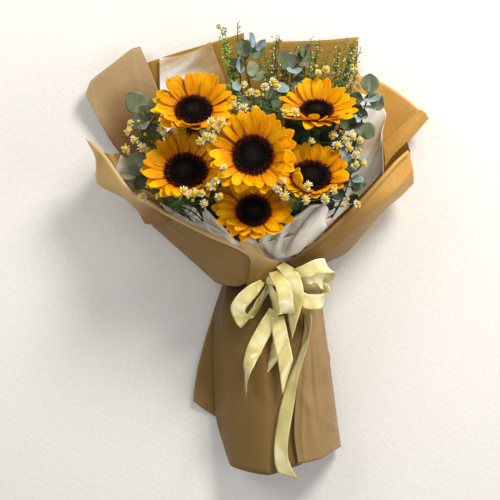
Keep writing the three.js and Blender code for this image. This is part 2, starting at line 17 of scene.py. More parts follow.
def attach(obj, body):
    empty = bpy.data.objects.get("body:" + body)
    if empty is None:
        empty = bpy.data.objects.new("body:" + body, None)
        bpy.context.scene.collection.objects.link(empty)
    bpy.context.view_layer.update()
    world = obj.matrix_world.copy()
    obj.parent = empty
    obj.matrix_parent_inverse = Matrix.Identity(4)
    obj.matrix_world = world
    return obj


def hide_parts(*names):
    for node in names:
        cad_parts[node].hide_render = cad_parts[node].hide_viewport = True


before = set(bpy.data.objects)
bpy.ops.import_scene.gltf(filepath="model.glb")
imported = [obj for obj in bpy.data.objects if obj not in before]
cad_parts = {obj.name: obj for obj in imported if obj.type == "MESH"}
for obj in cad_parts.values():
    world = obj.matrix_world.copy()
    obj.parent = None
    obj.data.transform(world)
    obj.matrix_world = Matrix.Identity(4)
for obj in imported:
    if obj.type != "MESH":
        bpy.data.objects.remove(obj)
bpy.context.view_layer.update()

MM = 0.001
UP = Vector((0, 0, 1))
# The steps that a sprig's or a spray's path is divided into. About the first half of them are in the bundle.
STEPS = {"sunflower": 48, "eucalyptus": 44, "chamomile": 44, "pennycress": 50}
GOLDEN_ANGLE = math.pi * (3 - math.sqrt(5))

# ---------------------------------------------------------------- camera, light and floor


def place_camera():
    """The photograph looks straight at the bunch, so with the bunch on its back the camera looks straight down."""
    data = bpy.data.cameras.new("camera")
    data.lens, data.sensor_width = 95, 36
    camera = bpy.data.objects.new("camera", data)
    camera.location = (-0.0099, 0.0038, 2.0)
    bpy.context.scene.collection.objects.link(camera)
    bpy.context.scene.camera = camera


def add_lamp(name, kind, place, aim, power, tint):
    data = bpy.data.lights.new(name, kind)
    data.energy, data.color = power, tint
    lamp = bpy.data.objects.new(name, data)
    lamp.location = place
    lamp.rotation_euler = (Vector(aim) - Vector(place)).to_track_quat("-Z", "Y").to_euler()
    bpy.context.scene.collection.objects.link(lamp)
    return data


def light_studio():
    """A strong soft key beyond the flowers, three weaker fills, and a narrow beam on the bow."""
    for name, place, size, power, tint in (
        ("window_key", (0.85, 1.5, 1.3), 0.7, 46, (1, 0.94, 0.85)),
        ("right_fill", (1.5, -0.2, 1.1), 0.6, 7, (1, 0.96, 0.9)),
        ("left_fill", (-1.4, 0.9, 1.3), 1.0, 12, (1, 0.97, 0.93)),
        ("foot_fill", (-0.2, -1.7, 1.4), 1.4, 4, (0.95, 0.97, 1)),
    ):
        soft = add_lamp(name, "AREA", place, (0, 0, 0.05), power, tint)
        soft.shape, soft.size = "DISK", size
    snoot = add_lamp("front_snoot", "SPOT", (0.35, -1.1, 1.6), (0.068, 0.034, 0.125), 62, (1, 0.97, 0.95))
    snoot.shadow_soft_size, snoot.spot_size, snoot.spot_blend = 0.12, math.radians(4.6), 0.8
    world = bpy.data.worlds.new("studio")
    world.use_nodes = True
    sky = world.node_tree.nodes["Background"]
    sky.inputs["Color"].default_value = (1, 0.98, 0.95, 1)
    sky.inputs["Strength"].default_value = 0.36
    bpy.context.scene.world = world
    bpy.context.scene.view_settings.view_transform = "Standard"


place_camera()
light_studio()

# ---------------------------------------------------------------- materials


def linear(code):
    """An sRGB hex colour as linear RGBA."""
    parts = [int(code[i : i + 2], 16) / 255 for i in (1, 3, 5)]
    return tuple(c / 12.92 if c <= 0.04045 else ((c + 0.055) / 1.055) ** 2.4 for c in parts) + (1.0,)


def add_node(tree, kind, settings=None, inputs=None, stops=None):
    """Adds one node, sets its properties, and fills or links its inputs. stops are a ramp's colours."""
    node = tree.nodes.new("ShaderNode" + kind)
    for name, value in (settings or {}).items():
        setattr(node, name, value)
    for name, value in (inputs or {}).items():
        if isinstance(value, bpy.types.NodeSocket):
            tree.links.new(value, node.inputs[name])
        else:
            node.inputs[name].default_value = value
    if stops:
        ramp = node.color_ramp.elements
        while len(ramp) < len(stops):
            ramp.new(1)
        for element, (place, shade) in zip(ramp, stops):
            element.position = place
            element.color = linear(shade) if isinstance(shade, str) else (shade, shade, shade, 1)
    return node


class Skin:
    """A material being made: its shader, its coordinates, and one short method for each node that the skins share."""

    def __init__(self, name, roughness, **sockets):
        self.material = bpy.data.materials.new(name)
        self.material.use_nodes = True
        self.tree = self.material.node_tree
        self.shader = self.tree.nodes["Principled BSDF"]
        self.shader.inputs["Roughness"].default_value = roughness
        for socket, value in sockets.items():
            self.shader.inputs[socket.replace("_", " ")].default_value = value
        places = add_node(self.tree, "TexCoord")
        self.body, self.uv = places.outputs["Object"], places.outputs["UV"]

    def noise(self, where, scale, detail):
        inputs = {"Vector": where, "Scale": scale, "Detail": detail}
        return add_node(self.tree, "TexNoise", inputs=inputs).outputs["Fac"]

    def stretched(self, where, scale, turn=0.0, kind="POINT"):
        """Coordinates scaled along each axis and turned about Z, so that a noise on them runs in lines."""
        inputs = {"Vector": where, "Rotation": (0, 0, turn), "Scale": scale}
        return add_node(self.tree, "Mapping", {"vector_type": kind}, inputs).outputs["Vector"]

    def uv_parts(self):
        return add_node(self.tree, "SeparateXYZ", inputs={"Vector": self.uv}).outputs

    def maths(self, operation, *values):
        return add_node(self.tree, "Math", {"operation": operation}, dict(enumerate(values))).outputs[0]

    def ramp(self, share, *stops):
        return add_node(self.tree, "ValToRGB", inputs={"Fac": share}, stops=stops).outputs["Color"]

    def mix(self, share, below, above, blend="MIX"):
        settings = {"data_type": "RGBA", "blend_type": blend}
        return add_node(self.tree, "Mix", settings, {"Factor": share, "A": below, "B": above}).outputs["Result"]

    def bump(self, height, strength, depth, **under):
        """Relief of this depth in metres. under may hold a Normal that it goes on top of."""
        inputs = {"Strength": strength, "Distance": depth, "Height": height, **under}
        return add_node(self.tree, "Bump", inputs=inputs).outputs["Normal"]

    def link(self, **outputs):
        """Joins each output to the shader's socket of that name, and gives the material back."""
        for socket, output in outputs.items():
            self.tree.links.new(output, self.shader.inputs[socket.replace("_", " ")])
        return self.material


def ray_floret_skin(name, *stops):
    """Sunflower ray florets: soft, slightly waxy petals with fine lengthwise nerves, deeper orange at the foot."""
    skin = Skin(
        name, 0.55, Specular_IOR_Level=0.06, Subsurface_Weight=0.15, Subsurface_Radius=(0.006, 0.003, 0.0004),
        Subsurface_Scale=0.5,
    )
    # a petal is 13 mm wide with a nerve about every 1 mm
    nerves = skin.noise(skin.stretched(skin.uv, (1, 0.12, 1)), 11, 2)
    streak = skin.ramp(nerves, (0.34, "#e0a860"), (0.6, "#ffffff"))
    tone = skin.ramp(skin.noise(skin.body, 45, 1), (0.35, "#f2dcb6"), (0.6, "#ffffff"))
    nerved = skin.mix(0.75, skin.ramp(skin.uv_parts()["Y"], *stops), streak, "MULTIPLY")
    return skin.link(Base_Color=skin.mix(1, nerved, tone, "MULTIPLY"), Normal=skin.bump(nerves, 0.8, 0.8 * MM))


def disc_floret_skin():
    """Disc florets: maroon fuzz outside with rust tips, a near-black ring, and grey-olive buds in the middle.

    The UV map holds each floret's distance from the middle, and the height up the floret.
    """
    skin = Skin("disc_floret_fuzz", 0.9, Specular_IOR_Level=0.15)
    place = skin.uv_parts()
    foot = skin.ramp(
        place["X"], (0, "#100c09"), (0.3, "#120d09"), (0.42, "#030101"), (0.6, "#060202"), (1, "#140706")
    )
    tip = skin.ramp(
        place["X"], (0, "#453b2d"), (0.28, "#382e22"), (0.4, "#060202"), (0.58, "#080302"), (0.7, "#451a13"),
        (0.86, "#7a3324"), (1, "#84402a"),
    )
    return skin.link(Base_Color=skin.mix(place["Y"], foot, tip))


def green_skin(name, deep, light, roughness, ribs=0.0):
    """Stem, bract or leaf tissue: mottled green, with lengthwise ribs where the UV map runs along it."""
    skin = Skin(name, roughness, Specular_IOR_Level=0.35)
    height = mottle = skin.noise(skin.body, 90, 4)
    if ribs:
        inputs = {"Vector": skin.uv, "Scale": ribs, "Distortion": 1.5, "Detail": 1.0}
        height = add_node(skin.tree, "TexWave", {"bands_direction": "X"}, inputs).outputs["Fac"]
    return skin.link(Base_Color=skin.ramp(mottle, (0.3, deep), (0.7, light)), Normal=skin.bump(height, 0.4, 0.4 * MM))


def eucalyptus_skin(name, deep, middle, bloomed):
    """Eucalyptus leaf: green under a pale wax bloom that is rubbed off in patches, with pale veins."""
    skin = Skin(name, 0.5, Specular_IOR_Level=0.4)
    flesh = skin.ramp(skin.noise(skin.body, 42, 4), (0.34, deep), (0.54, middle), (0.74, bloomed))
    place = skin.uv_parts()
    from_rib = skin.maths("ABSOLUTE", skin.maths("SUBTRACT", place["X"], 0.5))
    # the midrib narrows towards the tip and ends before it
    thinned = skin.maths("ADD", from_rib, skin.maths("MULTIPLY", place["Y"], 0.03))
    slant = skin.maths("MULTIPLY", skin.maths("SUBTRACT", place["Y"], from_rib), 42.0)
    midrib = skin.ramp(thinned, (0.008, 0.5), (0.03, 0.0))
    side_veins = skin.ramp(skin.maths("SINE", slant), (0.86, 0.0), (1.0, 0.16))
    veins = skin.maths("MAXIMUM", midrib, side_veins)
    return skin.link(Base_Color=skin.mix(veins, flesh, linear("#a3b08a")), Normal=skin.bump(veins, 0.35, 0.4 * MM))


def speckled_skin(name, deep, light, grain_mm, roughness):
    """Small plant parts and cord: a fine speckle of two shades, with the grain's own relief."""
    skin = Skin(name, roughness, Specular_IOR_Level=0.3)
    speckle = skin.noise(skin.body, 1 / (grain_mm * 2 * MM), 2)
    shade = skin.ramp(speckle, (0.35, deep), (0.65, light))
    return skin.link(Base_Color=shade, Normal=skin.bump(speckle, 0.5, grain_mm * 0.3 * MM))


def kraft_skin(name, deep, light, fade=None, shine=0.32):
    """Machine-glazed kraft wrapping paper: a smooth side with a low shine, faint flow lines and dark fibre flecks."""
    skin = Skin(name, 0.46, Specular_IOR_Level=shine)
    cloud = skin.noise(skin.body, 9, 3)
    if fade:
        # painted shade and light along the sheet: darker at the end that flowers, flaps or the knot shade, and lighter
        # towards the other end; fade is where the lightening starts and where it is whole
        inputs = {"Value": skin.uv_parts()["Y"], "From Min": fade[0], "From Max": fade[1], "To Max": 0.5}
        painted_shading = add_node(skin.tree, "MapRange", inputs=inputs).outputs["Result"]
        cloud = skin.maths("MULTIPLY_ADD", cloud, 0.5, painted_shading)
    base = skin.ramp(cloud, (0.3, deep), (0.7, light))
    # fibres are 2 to 3 mm long and drawn about 0.4 mm wide, or they wouldn't show
    fibres = skin.noise(skin.stretched(skin.body, (1, 0.18, 1)), 1300, 2)
    flecked = skin.mix(0.45, base, skin.ramp(fibres, (0.3, "#c9b296"), (0.52, "#ffffff")), "MULTIPLY")
    cockle = skin.bump(skin.noise(skin.body, 32, 3), 0.35, 1.6 * MM)
    return skin.link(Base_Color=flecked, Normal=skin.bump(fibres, 0.2, 0.2 * MM, Normal=cockle))


def liner_skin(name, thin, beige_across, *stops):
    """Spun-fibre flower liner: thin white non-woven that lets the paper behind show, with crossing fibres."""
    skin = Skin(name, 0.62, Specular_IOR_Level=0.35)
    webs = [
        skin.noise(skin.stretched(skin.body, (1, 6, 1), turn, "TEXTURE"), scale, 3)
        for turn, scale in ((0.5, 520), (-0.9, 460))
    ]
    both = skin.maths("ADD", *webs)
    fibres = skin.maths("MULTIPLY", both, 0.06)
    # painted light and shade: soft diagonal bands, lighter and darker, for the light on the liner's folds; they also
    # thin the web
    painted_fold_light = skin.noise(skin.stretched(skin.body, (1, 4, 1), -1.1, "TEXTURE"), 26, 2)
    mixed = skin.maths("MULTIPLY_ADD", painted_fold_light, 0.88, fibres)
    # beige_across is how much the web is painted beiger and thinner from one side of the sheet to the other
    toned = skin.maths("MULTIPLY_ADD", skin.uv_parts()["X"], -beige_across, mixed)
    web_cover = skin.ramp(toned, (0.3, thin), (0.5, 0.97))
    return skin.link(Base_Color=skin.ramp(toned, *stops), Alpha=web_cover, Normal=skin.bump(both, 0.25, 0.4 * MM))


def satin_skin():
    """Single-face satin ribbon: long floats along the ribbon that shine across it, pale primrose yellow."""
    skin = Skin(
        "satin_ribbon_primrose", 0.2, Specular_IOR_Level=1.0, Anisotropic=0.75, Subsurface_Weight=0.12,
        Subsurface_Radius=(0.005, 0.004, 0.0008), Coat_Weight=0.45, Coat_Roughness=0.12,
    )
    # warp floats are about 0.3 mm apart over the 22 mm width
    floats = skin.noise(skin.stretched(skin.uv, (70, 1.4, 1)), 1, 2)
    # painted sheen: soft bands across the ribbon, painted paler up to near white and deeper yellow by turns
    painted_sheen_bands = skin.noise(skin.stretched(skin.uv, (0.4, 4.2, 1), 0.1), 1, 1)
    sheen = skin.maths("MULTIPLY_ADD", painted_sheen_bands, 0.85, skin.maths("MULTIPLY", floats, 0.15))
    shade = skin.ramp(sheen, (0.38, "#c2b164"), (0.48, "#dccf86"), (0.55, "#e9e0a0"), (0.64, "#f6f2d2"))
    grain = add_node(skin.tree, "Tangent", {"direction_type": "UV_MAP", "uv_map": "UVMap"}).outputs["Tangent"]
    return skin.link(Base_Color=shade, Normal=skin.bump(floats, 0.1, 0.2 * MM), Tangent=grain)


PETAL = ray_floret_skin("ray_floret_petal", (0, "#d27c00"), (0.22, "#ea9f00"), (0.6, "#fabc00"), (1, "#fdc900"))
# a deeper copy for petals on the upper side of each head: painted shade where they tilt away from the light
PETAL_PAINTED_SHADE = ray_floret_skin(
    "ray_floret_petal_painted_shade", (0, "#bc6f00"), (0.22, "#d08d00"), (0.6, "#dea200"), (1, "#e9b000")
)
DISC = disc_floret_skin()
STEM = green_skin("sunflower_stem_green", "#3c5420", "#587032", 0.6, ribs=8)
BRACT = green_skin("bract_green", "#26391a", "#415c26", 0.65, ribs=10)
# near-black green for the leaves under and between the heads: partly their own dark green, partly painted shade
LEAF = green_skin("leaf_dark_green", "#131f0e", "#26391a", 0.5, ribs=14)
GUM_LEAF = eucalyptus_skin("waxy_eucalyptus_leaf", "#3c4a2e", "#5d6848", "#888f76")
# paler copies for leaves that catch the light, mostly seen edge-on: partly their own wax bloom, partly painted
# highlight
GUM_PALE_PAINTED_HIGHLIGHT = eucalyptus_skin("bloom_and_painted_highlight_eucalyptus_leaf", "#748a8a", "#92aab0", "#b2c6cc")
GUM_SAGE_PAINTED_HIGHLIGHT = eucalyptus_skin("sage_eucalyptus_leaf_painted_highlight", "#76795c", "#959a7c", "#b4b69c")
GUM_STEM = green_skin("eucalyptus_twig", "#45462b", "#666944", 0.6)
DAISY_RAY = speckled_skin("chamomile_ray", "#c4c2a6", "#e2e0ce", 0.6, 0.6)
DAISY_DOME = speckled_skin("chamomile_dome", "#b89400", "#e8c40a", 0.5, 0.8)
DAISY_GREEN = green_skin("chamomile_green", "#2c4418", "#577128", 0.6)
POD = green_skin("pennycress_pod", "#627a20", "#98ac3c", 0.6)
POD_DARK = green_skin("pennycress_pod_shaded", "#4f6420", "#8a9c3a", 0.6)
POD_STALK = green_skin("pennycress_stalk", "#3a4d18", "#566d26", 0.6)
POD_SPECK = speckled_skin("pennycress_flower", "#d6dcc4", "#f2f3e6", 0.5, 0.6)
# One kraft paper wraps the bunch; its copies below are coloured sheet by sheet for how the light falls on each.
# The lighter copies are painted light, the darker ones painted shade.
# back-left sheet: painted shade low on it and a painted sheen towards its free end
KRAFT_BACK_PAINTED_SHEEN = kraft_skin("kraft_paper_back_painted_sheen", "#623f0e", "#ab9168", fade=(0.68, 0.92))
KRAFT_AMBER = kraft_skin("kraft_paper_amber", "#8b6822", "#9f7a2e")
# back-right sheet and its turned edge, facing the key light: a lighter copy, painted light
KRAFT_PAINTED_LIT_GOLD = kraft_skin("kraft_paper_painted_lit_gold", "#c08f42", "#d0a04e")
# right flap and its rim: a lighter copy, painted light, and painted shade towards the tie
KRAFT_PAINTED_LIT_HONEY = kraft_skin("kraft_paper_painted_lit_honey", "#775c2e", "#cb9b4a", fade=(0.1, 0.75))
# left flap: a lighter copy, painted light, and painted shade towards the tie
KRAFT_PAINTED_LIT_STRAW = kraft_skin("kraft_paper_painted_lit_straw", "#8e5f24", "#cfab6a", fade=(0.4, 0.66))
# rolled rims of the two left flaps: a pale copy, painted highlight
KRAFT_RIM_PAINTED_HIGHLIGHT = kraft_skin("kraft_paper_rim_painted_highlight", "#c4a266", "#d8ba84")
# cone over the knot: painted light at its top and painted shade towards the knot
KRAFT_PAINTED_LIT_CREAM = kraft_skin("kraft_paper_painted_lit_cream", "#8c6d30", "#cfb27a", fade=(0.9, 0.3))
KRAFT_SHADED = kraft_skin("kraft_paper_shaded", "#5a380c", "#6b4614", shine=0.03)
KRAFT_OLIVE = kraft_skin("kraft_paper_olive", "#846634", "#927443")
# left panel of the skirt, turned from the light: a darker copy, painted shade, darkest at its top under the front-left
# flap
KRAFT_PAINTED_SHADE_BROWN = kraft_skin("kraft_paper_painted_shade_brown", "#44300f", "#7f653a", fade=(0.0, 0.75), shine=0.14)
KRAFT_TAN = kraft_skin("kraft_paper_tan", "#876b3f", "#9b7f50", shine=0.4)
LINER = liner_skin(
    "spun_fibre_liner", 0.5, 0.32, (0.2, "#bc9864"), (0.33, "#d2ba94"), (0.42, "#e6ddd2"), (0.5, "#f2eff0")
)
# right back liner: a lighter beige copy, painted light where that sheet lies in shade
LINER_BEIGE_PAINTED_LIGHT = liner_skin("spun_fibre_liner_beige_painted_light", 0.75, 0.05, (0.34, "#dcc8aa"), (0.46, "#ece0ce"), (0.58, "#f4f0ec"))
# liner folds in front: a greyer copy of the white liner, partly painted shade
LINER_FOLDED_PAINTED_SHADE = liner_skin("spun_fibre_liner_folded_painted_shade", 0.94, 0, (0.38, "#c9bca6"), (0.52, "#dcd4c6"), (0.64, "#ece8e2"))
SATIN = satin_skin()
TWINE = speckled_skin("jute_twine", "#a58d5c", "#d6c08f", 0.4, 0.95)
FLOOR = speckled_skin("matte_table_top", "#e4e3e1", "#e8e7e5", 3, 0.9)

# ---------------------------------------------------------------- curves, grids and pieces


def points_of(text):
    """Points, or longer rows of numbers, from a text that parts them by commas."""
    return [tuple(float(x) for x in point.split()) for point in text.split(",") if point.strip()]


def rows_of(text):
    """Rows of points from a text that parts the rows by semicolons."""
    return [points_of(row) for row in text.split(";")]


def between(values, t):
    """The value at t along a row: cubic, with slopes that keep it between its neighbours."""
    last = len(values) - 1
    i = min(int(t * last), last - 1)
    u = t * last - i

    def slope(k):
        if k in (0, last):
            return values[min(k + 1, last)] - values[max(k - 1, 0)]
        before, after = values[k] - values[k - 1], values[k + 1] - values[k]
        return 2 * before * after / (before + after) if before * after > 0 else 0

    return (
        values[i] * (1 + 2 * u) * (1 - u) ** 2
        + slope(i) * u * (1 - u) ** 2
        + values[i + 1] * u * u * (3 - 2 * u)
        + slope(i + 1) * u * u * (u - 1)
    )


def point_between(points, t):
    return Vector([between([p[k] for p in points], t) for k in range(3)])


def smooth_path(points, steps):
    """Centripetal Catmull-Rom curve through the points, as the CAD stems have it."""
    p = [Vector(q) for q in points]
    p = [2 * p[0] - p[1], *p, 2 * p[-1] - p[-2]]
    path = []
    for k in range(steps + 1):
        place = min(k / steps * (len(p) - 3), len(p) - 3 - 1e-9)
        i, u = int(place), place - int(place)
        a, b, c, d = p[i : i + 4]
        gap = [max((n - m).length ** 0.5, 1e-9) for m, n in ((a, b), (b, c), (c, d))]
        into = ((b - a) / gap[0] - (c - a) / (gap[0] + gap[1]) + (c - b) / gap[1]) * gap[1]
        away = ((c - b) / gap[1] - (d - b) / (gap[1] + gap[2]) + (d - c) / gap[2]) * gap[1]
        path.append(
            b + into * u + (3 * (c - b) - 2 * into - away) * u * u + (2 * (b - c) + into + away) * u**3
        )
    return path


def grid_of(across, along):
    """A bmesh grid, and each corner's place (u across, v along) from 0 to 1, which is its UV too."""
    mesh = bmesh.new()
    layer = mesh.loops.layers.uv.new("UVMap")
    bmesh.ops.create_grid(mesh, x_segments=across, y_segments=along, size=0.5)
    places = {v: (v.co.x + 0.5, v.co.y + 0.5) for v in mesh.verts}
    for face in mesh.faces:
        face.smooth = True
        for loop in face.loops:
            loop[layer].uv = places[loop.vert]
    return mesh, places


def tube(path, radii, sides, slot=0):
    """A closed stalk along the path. radii is one radius, or a row of them that it passes through."""
    radii = radii if isinstance(radii, (list, tuple)) else [radii, radii]
    last = len(path) - 1
    mesh, places = grid_of(last, sides)
    frames, side = [], None
    for i in range(last + 1):
        way = (path[min(i + 1, last)] - path[max(i - 1, 0)]).normalized()
        side = way.orthogonal() if side is None else side - way * side.dot(way)
        side.normalize()
        frames.append((side.copy(), way.cross(side)))
    for vert, (u, v) in places.items():
        i, turn = round(u * last), v * 2 * math.pi
        reach = between(radii, u)
        across, up = frames[i]
        vert.co = path[i] + (across * math.cos(turn) + up * math.sin(turn)) * reach
    bmesh.ops.remove_doubles(mesh, verts=mesh.verts[:], dist=1e-7)
    bmesh.ops.holes_fill(mesh, edges=[e for e in mesh.edges if e.is_boundary], sides=sides)
    bmesh.ops.recalc_face_normals(mesh, faces=mesh.faces[:])
    return skinned(mesh, slot)


def skinned(mesh, slot, smooth=True):
    """Gives each face its material's place in the piece's list."""
    for face in mesh.faces:
        face.material_index, face.smooth = slot, smooth
    return mesh


def thicken(mesh, depth, slot=0):
    """Gives a leaf or petal its thickness, so that it is a closed shell."""
    bmesh.ops.solidify(mesh, geom=mesh.faces[:], thickness=depth)
    return skinned(mesh, slot)


def put(mesh, matrix):
    bmesh.ops.transform(mesh, matrix=matrix, verts=mesh.verts[:])
    return mesh


def put_round(mesh, way, foot, height):
    """Turns what grows along +Y to the way round a head, and moves it out by foot and up, in millimetres."""
    out = Vector((math.cos(way) * foot, math.sin(way) * foot, height)) * MM
    return put(mesh, Matrix.Translation(out) @ Matrix.Rotation(way - math.pi / 2, 4, "Z"))


def facing(normal, up_way):
    """A turn that takes +Z to normal and +Y as near as it can to up_way."""
    z = Vector(normal).normalized()
    y = Vector(up_way)
    y = y - z * y.dot(z)
    y = y.normalized() if y.length > 1e-6 else z.orthogonal().normalized()
    return Matrix((y.cross(z), y, z)).transposed().to_4x4()


def add_to(whole, part):
    """Moves a small bmesh into a larger one."""
    carrier = bpy.data.meshes.new("carrier")
    part.to_mesh(carrier)
    part.free()
    whole.from_mesh(carrier)
    bpy.data.meshes.remove(carrier)


def new_whole():
    whole = bmesh.new()
    whole.loops.layers.uv.new("UVMap")
    return whole


def ball(across, tall, height, segments, rings):
    """A flattened sphere with these radii and its middle at height, in millimetres."""
    mesh = new_whole()
    bmesh.ops.create_uvsphere(mesh, u_segments=segments, v_segments=rings, radius=1)
    size = Matrix.Diagonal((across * MM, across * MM, tall * MM, 1))
    return put(mesh, Matrix.Translation((0, 0, height * MM)) @ size)


def plug(low, top, tall, sides):
    """A closed cone from radius low to radius top, in millimetres."""
    mesh = new_whole()
    radii = {"radius1": low * MM, "radius2": top * MM, "depth": tall * MM}
    bmesh.ops.create_cone(mesh, cap_ends=True, segments=sides, **radii)
    return mesh


def make_piece(name, whole, materials, slot, *nodes):
    """Turns a bmesh into a named piece that rides with the bunch and stands for its CAD nodes."""
    data = bpy.data.meshes.new(name)
    whole.to_mesh(data)
    whole.free()
    for material in materials:
        data.materials.append(material)
    piece = bpy.data.objects.new(name, data)
    bpy.context.scene.collection.objects.link(piece)
    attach(piece, "root")
    if nodes:
        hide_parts(*nodes)
    return piece


# ---------------------------------------------------------------- sunflowers

NECK_Y, CUT_END_Y, CUT_END_SHIFT = -46, -250, 10
# at is the head's middle, tilt its lean in degrees, and spread how much wider its disc is than a plain one. reach is
# how much of their full length its petals have, neck the stem's X and Z in the tie, and by a place above the tie.
Flower = namedtuple("Flower", "at tilt size spread reach neck by")
SUNFLOWERS = [
    Flower((-89, 200, 145), 36, 1.0, 1.02, 1, (6, 38), (-45, 80, 74)),
    Flower((-100, 114, 150), 30, 1.0, 1.15, 1, (-1, 54), (-55, 30, 86)),
    Flower((-6, 134, 187), 10, 1.02, 1.07, 1, (20, 49), (3, 66, 94)),
    Flower((85, 202, 125), 48, 0.96, 0.96, 1, (34, 38), (64, 80, 66)),
    Flower((76, 107, 150), 40, 0.94, 1.18, 0.84, (41, 54), (62, 25, 84)),
    Flower((-5, 58, 150), 25, 0.96, 0.98, 1, (20, 63), (6, 4, 88)),
]


def stem_path(neck, places, steps):
    """A stem's path from its cut end through the tie and these places, in millimetres."""
    x, z = neck
    bundled = [(x + CUT_END_SHIFT, CUT_END_Y, z), (x + CUT_END_SHIFT / 2, (CUT_END_Y + NECK_Y) / 2, z), (x, NECK_Y, z)]
    return smooth_path([Vector(p) * MM for p in [*bundled, *places]], steps)


def ray_floret(length, width, rise, curl, twist, trough, slot):
    """One petal, growing from the origin along +Y and facing +Z: it bends from rise by curl, in degrees."""
    mesh, places = grid_of(6, 12)
    steps = 24
    spine = [(0.0, 0.0)]
    for k in range(steps):
        lean = math.radians(rise + curl * ((k + 0.5) / steps) ** 1.4)
        y, z = spine[-1]
        spine.append((y + math.cos(lean) * length / steps, z + math.sin(lean) * length / steps))
    for vert, (u, v) in places.items():
        k = min(int(v * steps), steps - 1)
        f = v * steps - k
        y = spine[k][0] * (1 - f) + spine[k + 1][0] * f
        z = spine[k][1] * (1 - f) + spine[k + 1][1] * f
        lean = math.radians(rise + curl * v**1.4)
        s = 2 * u - 1
        tip = (1 - 0.98 * max(0, (v - 0.55) / 0.45) ** 2.5) ** 0.72
        half = width / 2 * between([0.48, 0.8, 0.98, 1.0, 1.0], v) * tip
        cup = trough * half * s * s - 0.42 * math.cos(s * 3 * math.pi) * math.sin(v * math.pi)
        roll = twist * v
        x, lift = s * half * math.cos(roll) - cup * math.sin(roll), cup * math.cos(roll) + s * half * math.sin(roll)
        vert.co = Vector((x, y - lift * math.sin(lean), z + lift * math.cos(lean))) * MM
    return thicken(mesh, 0.35 * MM, slot)


# Petals that fold over their disc: their way in degrees, length, width, rise and curl.
FOLDED_PETALS = {
    3: "-8 34 18 30 74, -26 34 19 24 66, 14 30 16 40 60, 262 30 18 26 50",
    5: "204 30 18 86 62, 226 31 18 70 68, 250 25 17 44 54",
}


def head_petals(flower, over_disc, dice):
    """Two whorls of petals. Those on the low side of a tilted head curl up over the disc."""
    whole = new_whole()
    petals = []
    for count, foot, rise, length, height in ((20, 23.5, 9, 36.5, -2.5), (18, 24.5, 18, 33.5, -0.5)):
        start = dice.uniform(0, 6)
        for k in range(count):
            way = start + (k + dice.uniform(-0.28, 0.28)) * 2 * math.pi / count
            low, high = max(0.0, -math.sin(way)) ** 1.3, max(0.0, math.sin(way)) ** 1.2
            petals.append((
                way,
                foot,
                height + dice.uniform(-0.8, 0.8),
                length * dice.uniform(0.88, 1.1) * (1 - 0.16 * low + 0.1 * high) * flower.reach,
                dice.uniform(14.5, 19.5),
                rise + dice.uniform(-6, 6) + low * (7 + flower.tilt * 0.22) + high * flower.tilt * 0.4,
                dice.uniform(-16, 10) + low * (dice.uniform(-14, 24) + flower.tilt * dice.uniform(0, 0.75)),
            ))
    for degrees, length, width, rise, curl in over_disc:
        petals.append((math.radians(degrees), 25.5, 0.6, length, width, rise, curl))
    for way, foot, height, length, width, rise, curl in petals:
        twist = dice.uniform(-0.3, 0.3) * (1 + max(0.0, -math.sin(way)))
        # petals on the upper side of a head mostly take the deeper copy, painted shade; curled ones keep the plain
        # colour
        in_painted_shade = math.sin(way) > dice.uniform(-0.35, 0.6) and curl < 45
        petal = ray_floret(length, width, rise, curl, twist, dice.uniform(0.1, 0.32), 1 if in_painted_shade else 0)
        add_to(whole, put_round(petal, way, foot * flower.spread, height))
    return whole


def paint_florets(mesh, distance, low, high):
    """Sets each corner's UV to the floret's distance from the middle and the height up it."""
    layer = mesh.loops.layers.uv.active
    for face in mesh.faces:
        for loop in face.loops:
            loop[layer].uv = (distance, min(max((loop.vert.co.z - low) / (high - low), 0), 1))


# A disc's florets, its radius in millimetres, and the shares of that radius where its rings end.
DISC_FLORETS, DISC_RADIUS, BUDS_END, DARK_RING_END = 560, 26.4, 0.36, 0.56


def head_disc(spread, dice):
    """A dark dome under florets set on a golden-angle spiral."""
    whole = new_whole()
    dome = ball(26, 6.5, -2.6, 28, 12)
    # low and high are above the dome, so that it takes the colour of the florets' feet
    paint_florets(dome, 0.5, 1, 2)
    add_to(whole, dome)
    for k in range(DISC_FLORETS):
        share = math.sqrt((k + 0.5) / DISC_FLORETS)
        way = k * GOLDEN_ANGLE
        radius = DISC_RADIUS * share
        if share < BUDS_END:
            base, tip, tall, flare = 0.85, 0.55, 2.6 + dice.uniform(-0.3, 0.4), -0.1
        elif share < DARK_RING_END:
            base, tip, tall, flare = 0.8, 0.3, 2.6 + dice.uniform(-0.4, 0.6), 0.1
        else:
            base, tip, tall, flare = 0.85, 0.5, 4.4 + dice.uniform(-2.4, 2.4), 0.35 + 0.9 * (share - DARK_RING_END)
            radius += dice.uniform(-0.8, 1.0)
        floret = plug(base, tip, tall, 5)
        lit = 0.15 + 1.2 * dice.random() ** 2
        paint_florets(floret, share, -tall * MM / 2, tall * MM * (1 / lit - 0.5))
        lean = Matrix.Rotation(flare + dice.uniform(-0.22, 0.22), 4, Vector((-math.sin(way), math.cos(way), 0)))
        floor = 3.9 * math.sqrt(max(0, 1 - (radius / 27.5) ** 2)) - 2.0 + (0.8 if share < BUDS_END else 0)
        place = Vector((math.cos(way) * radius, math.sin(way) * radius, floor + tall / 2)) * MM
        add_to(whole, put(floret, Matrix.Translation(place) @ lean))
    return put(whole, Matrix.Diagonal((spread, spread, 1, 1)))


def bract(length, width, rise, curl):
    """A pointed green bract, growing along +Y and facing +Z."""
    mesh, places = grid_of(4, 6)
    for vert, (u, v) in places.items():
        s, lean = 2 * u - 1, math.radians(rise + curl * v)
        half = width / 2 * between([0.8, 1.0, 0.8, 0.45, 0.04], v)
        vert.co = Vector((s * half, v * length * math.cos(lean), v * length * math.sin(lean) - 1.2 * s * s)) * MM
    return thicken(mesh, 0.6 * MM, slot=1)


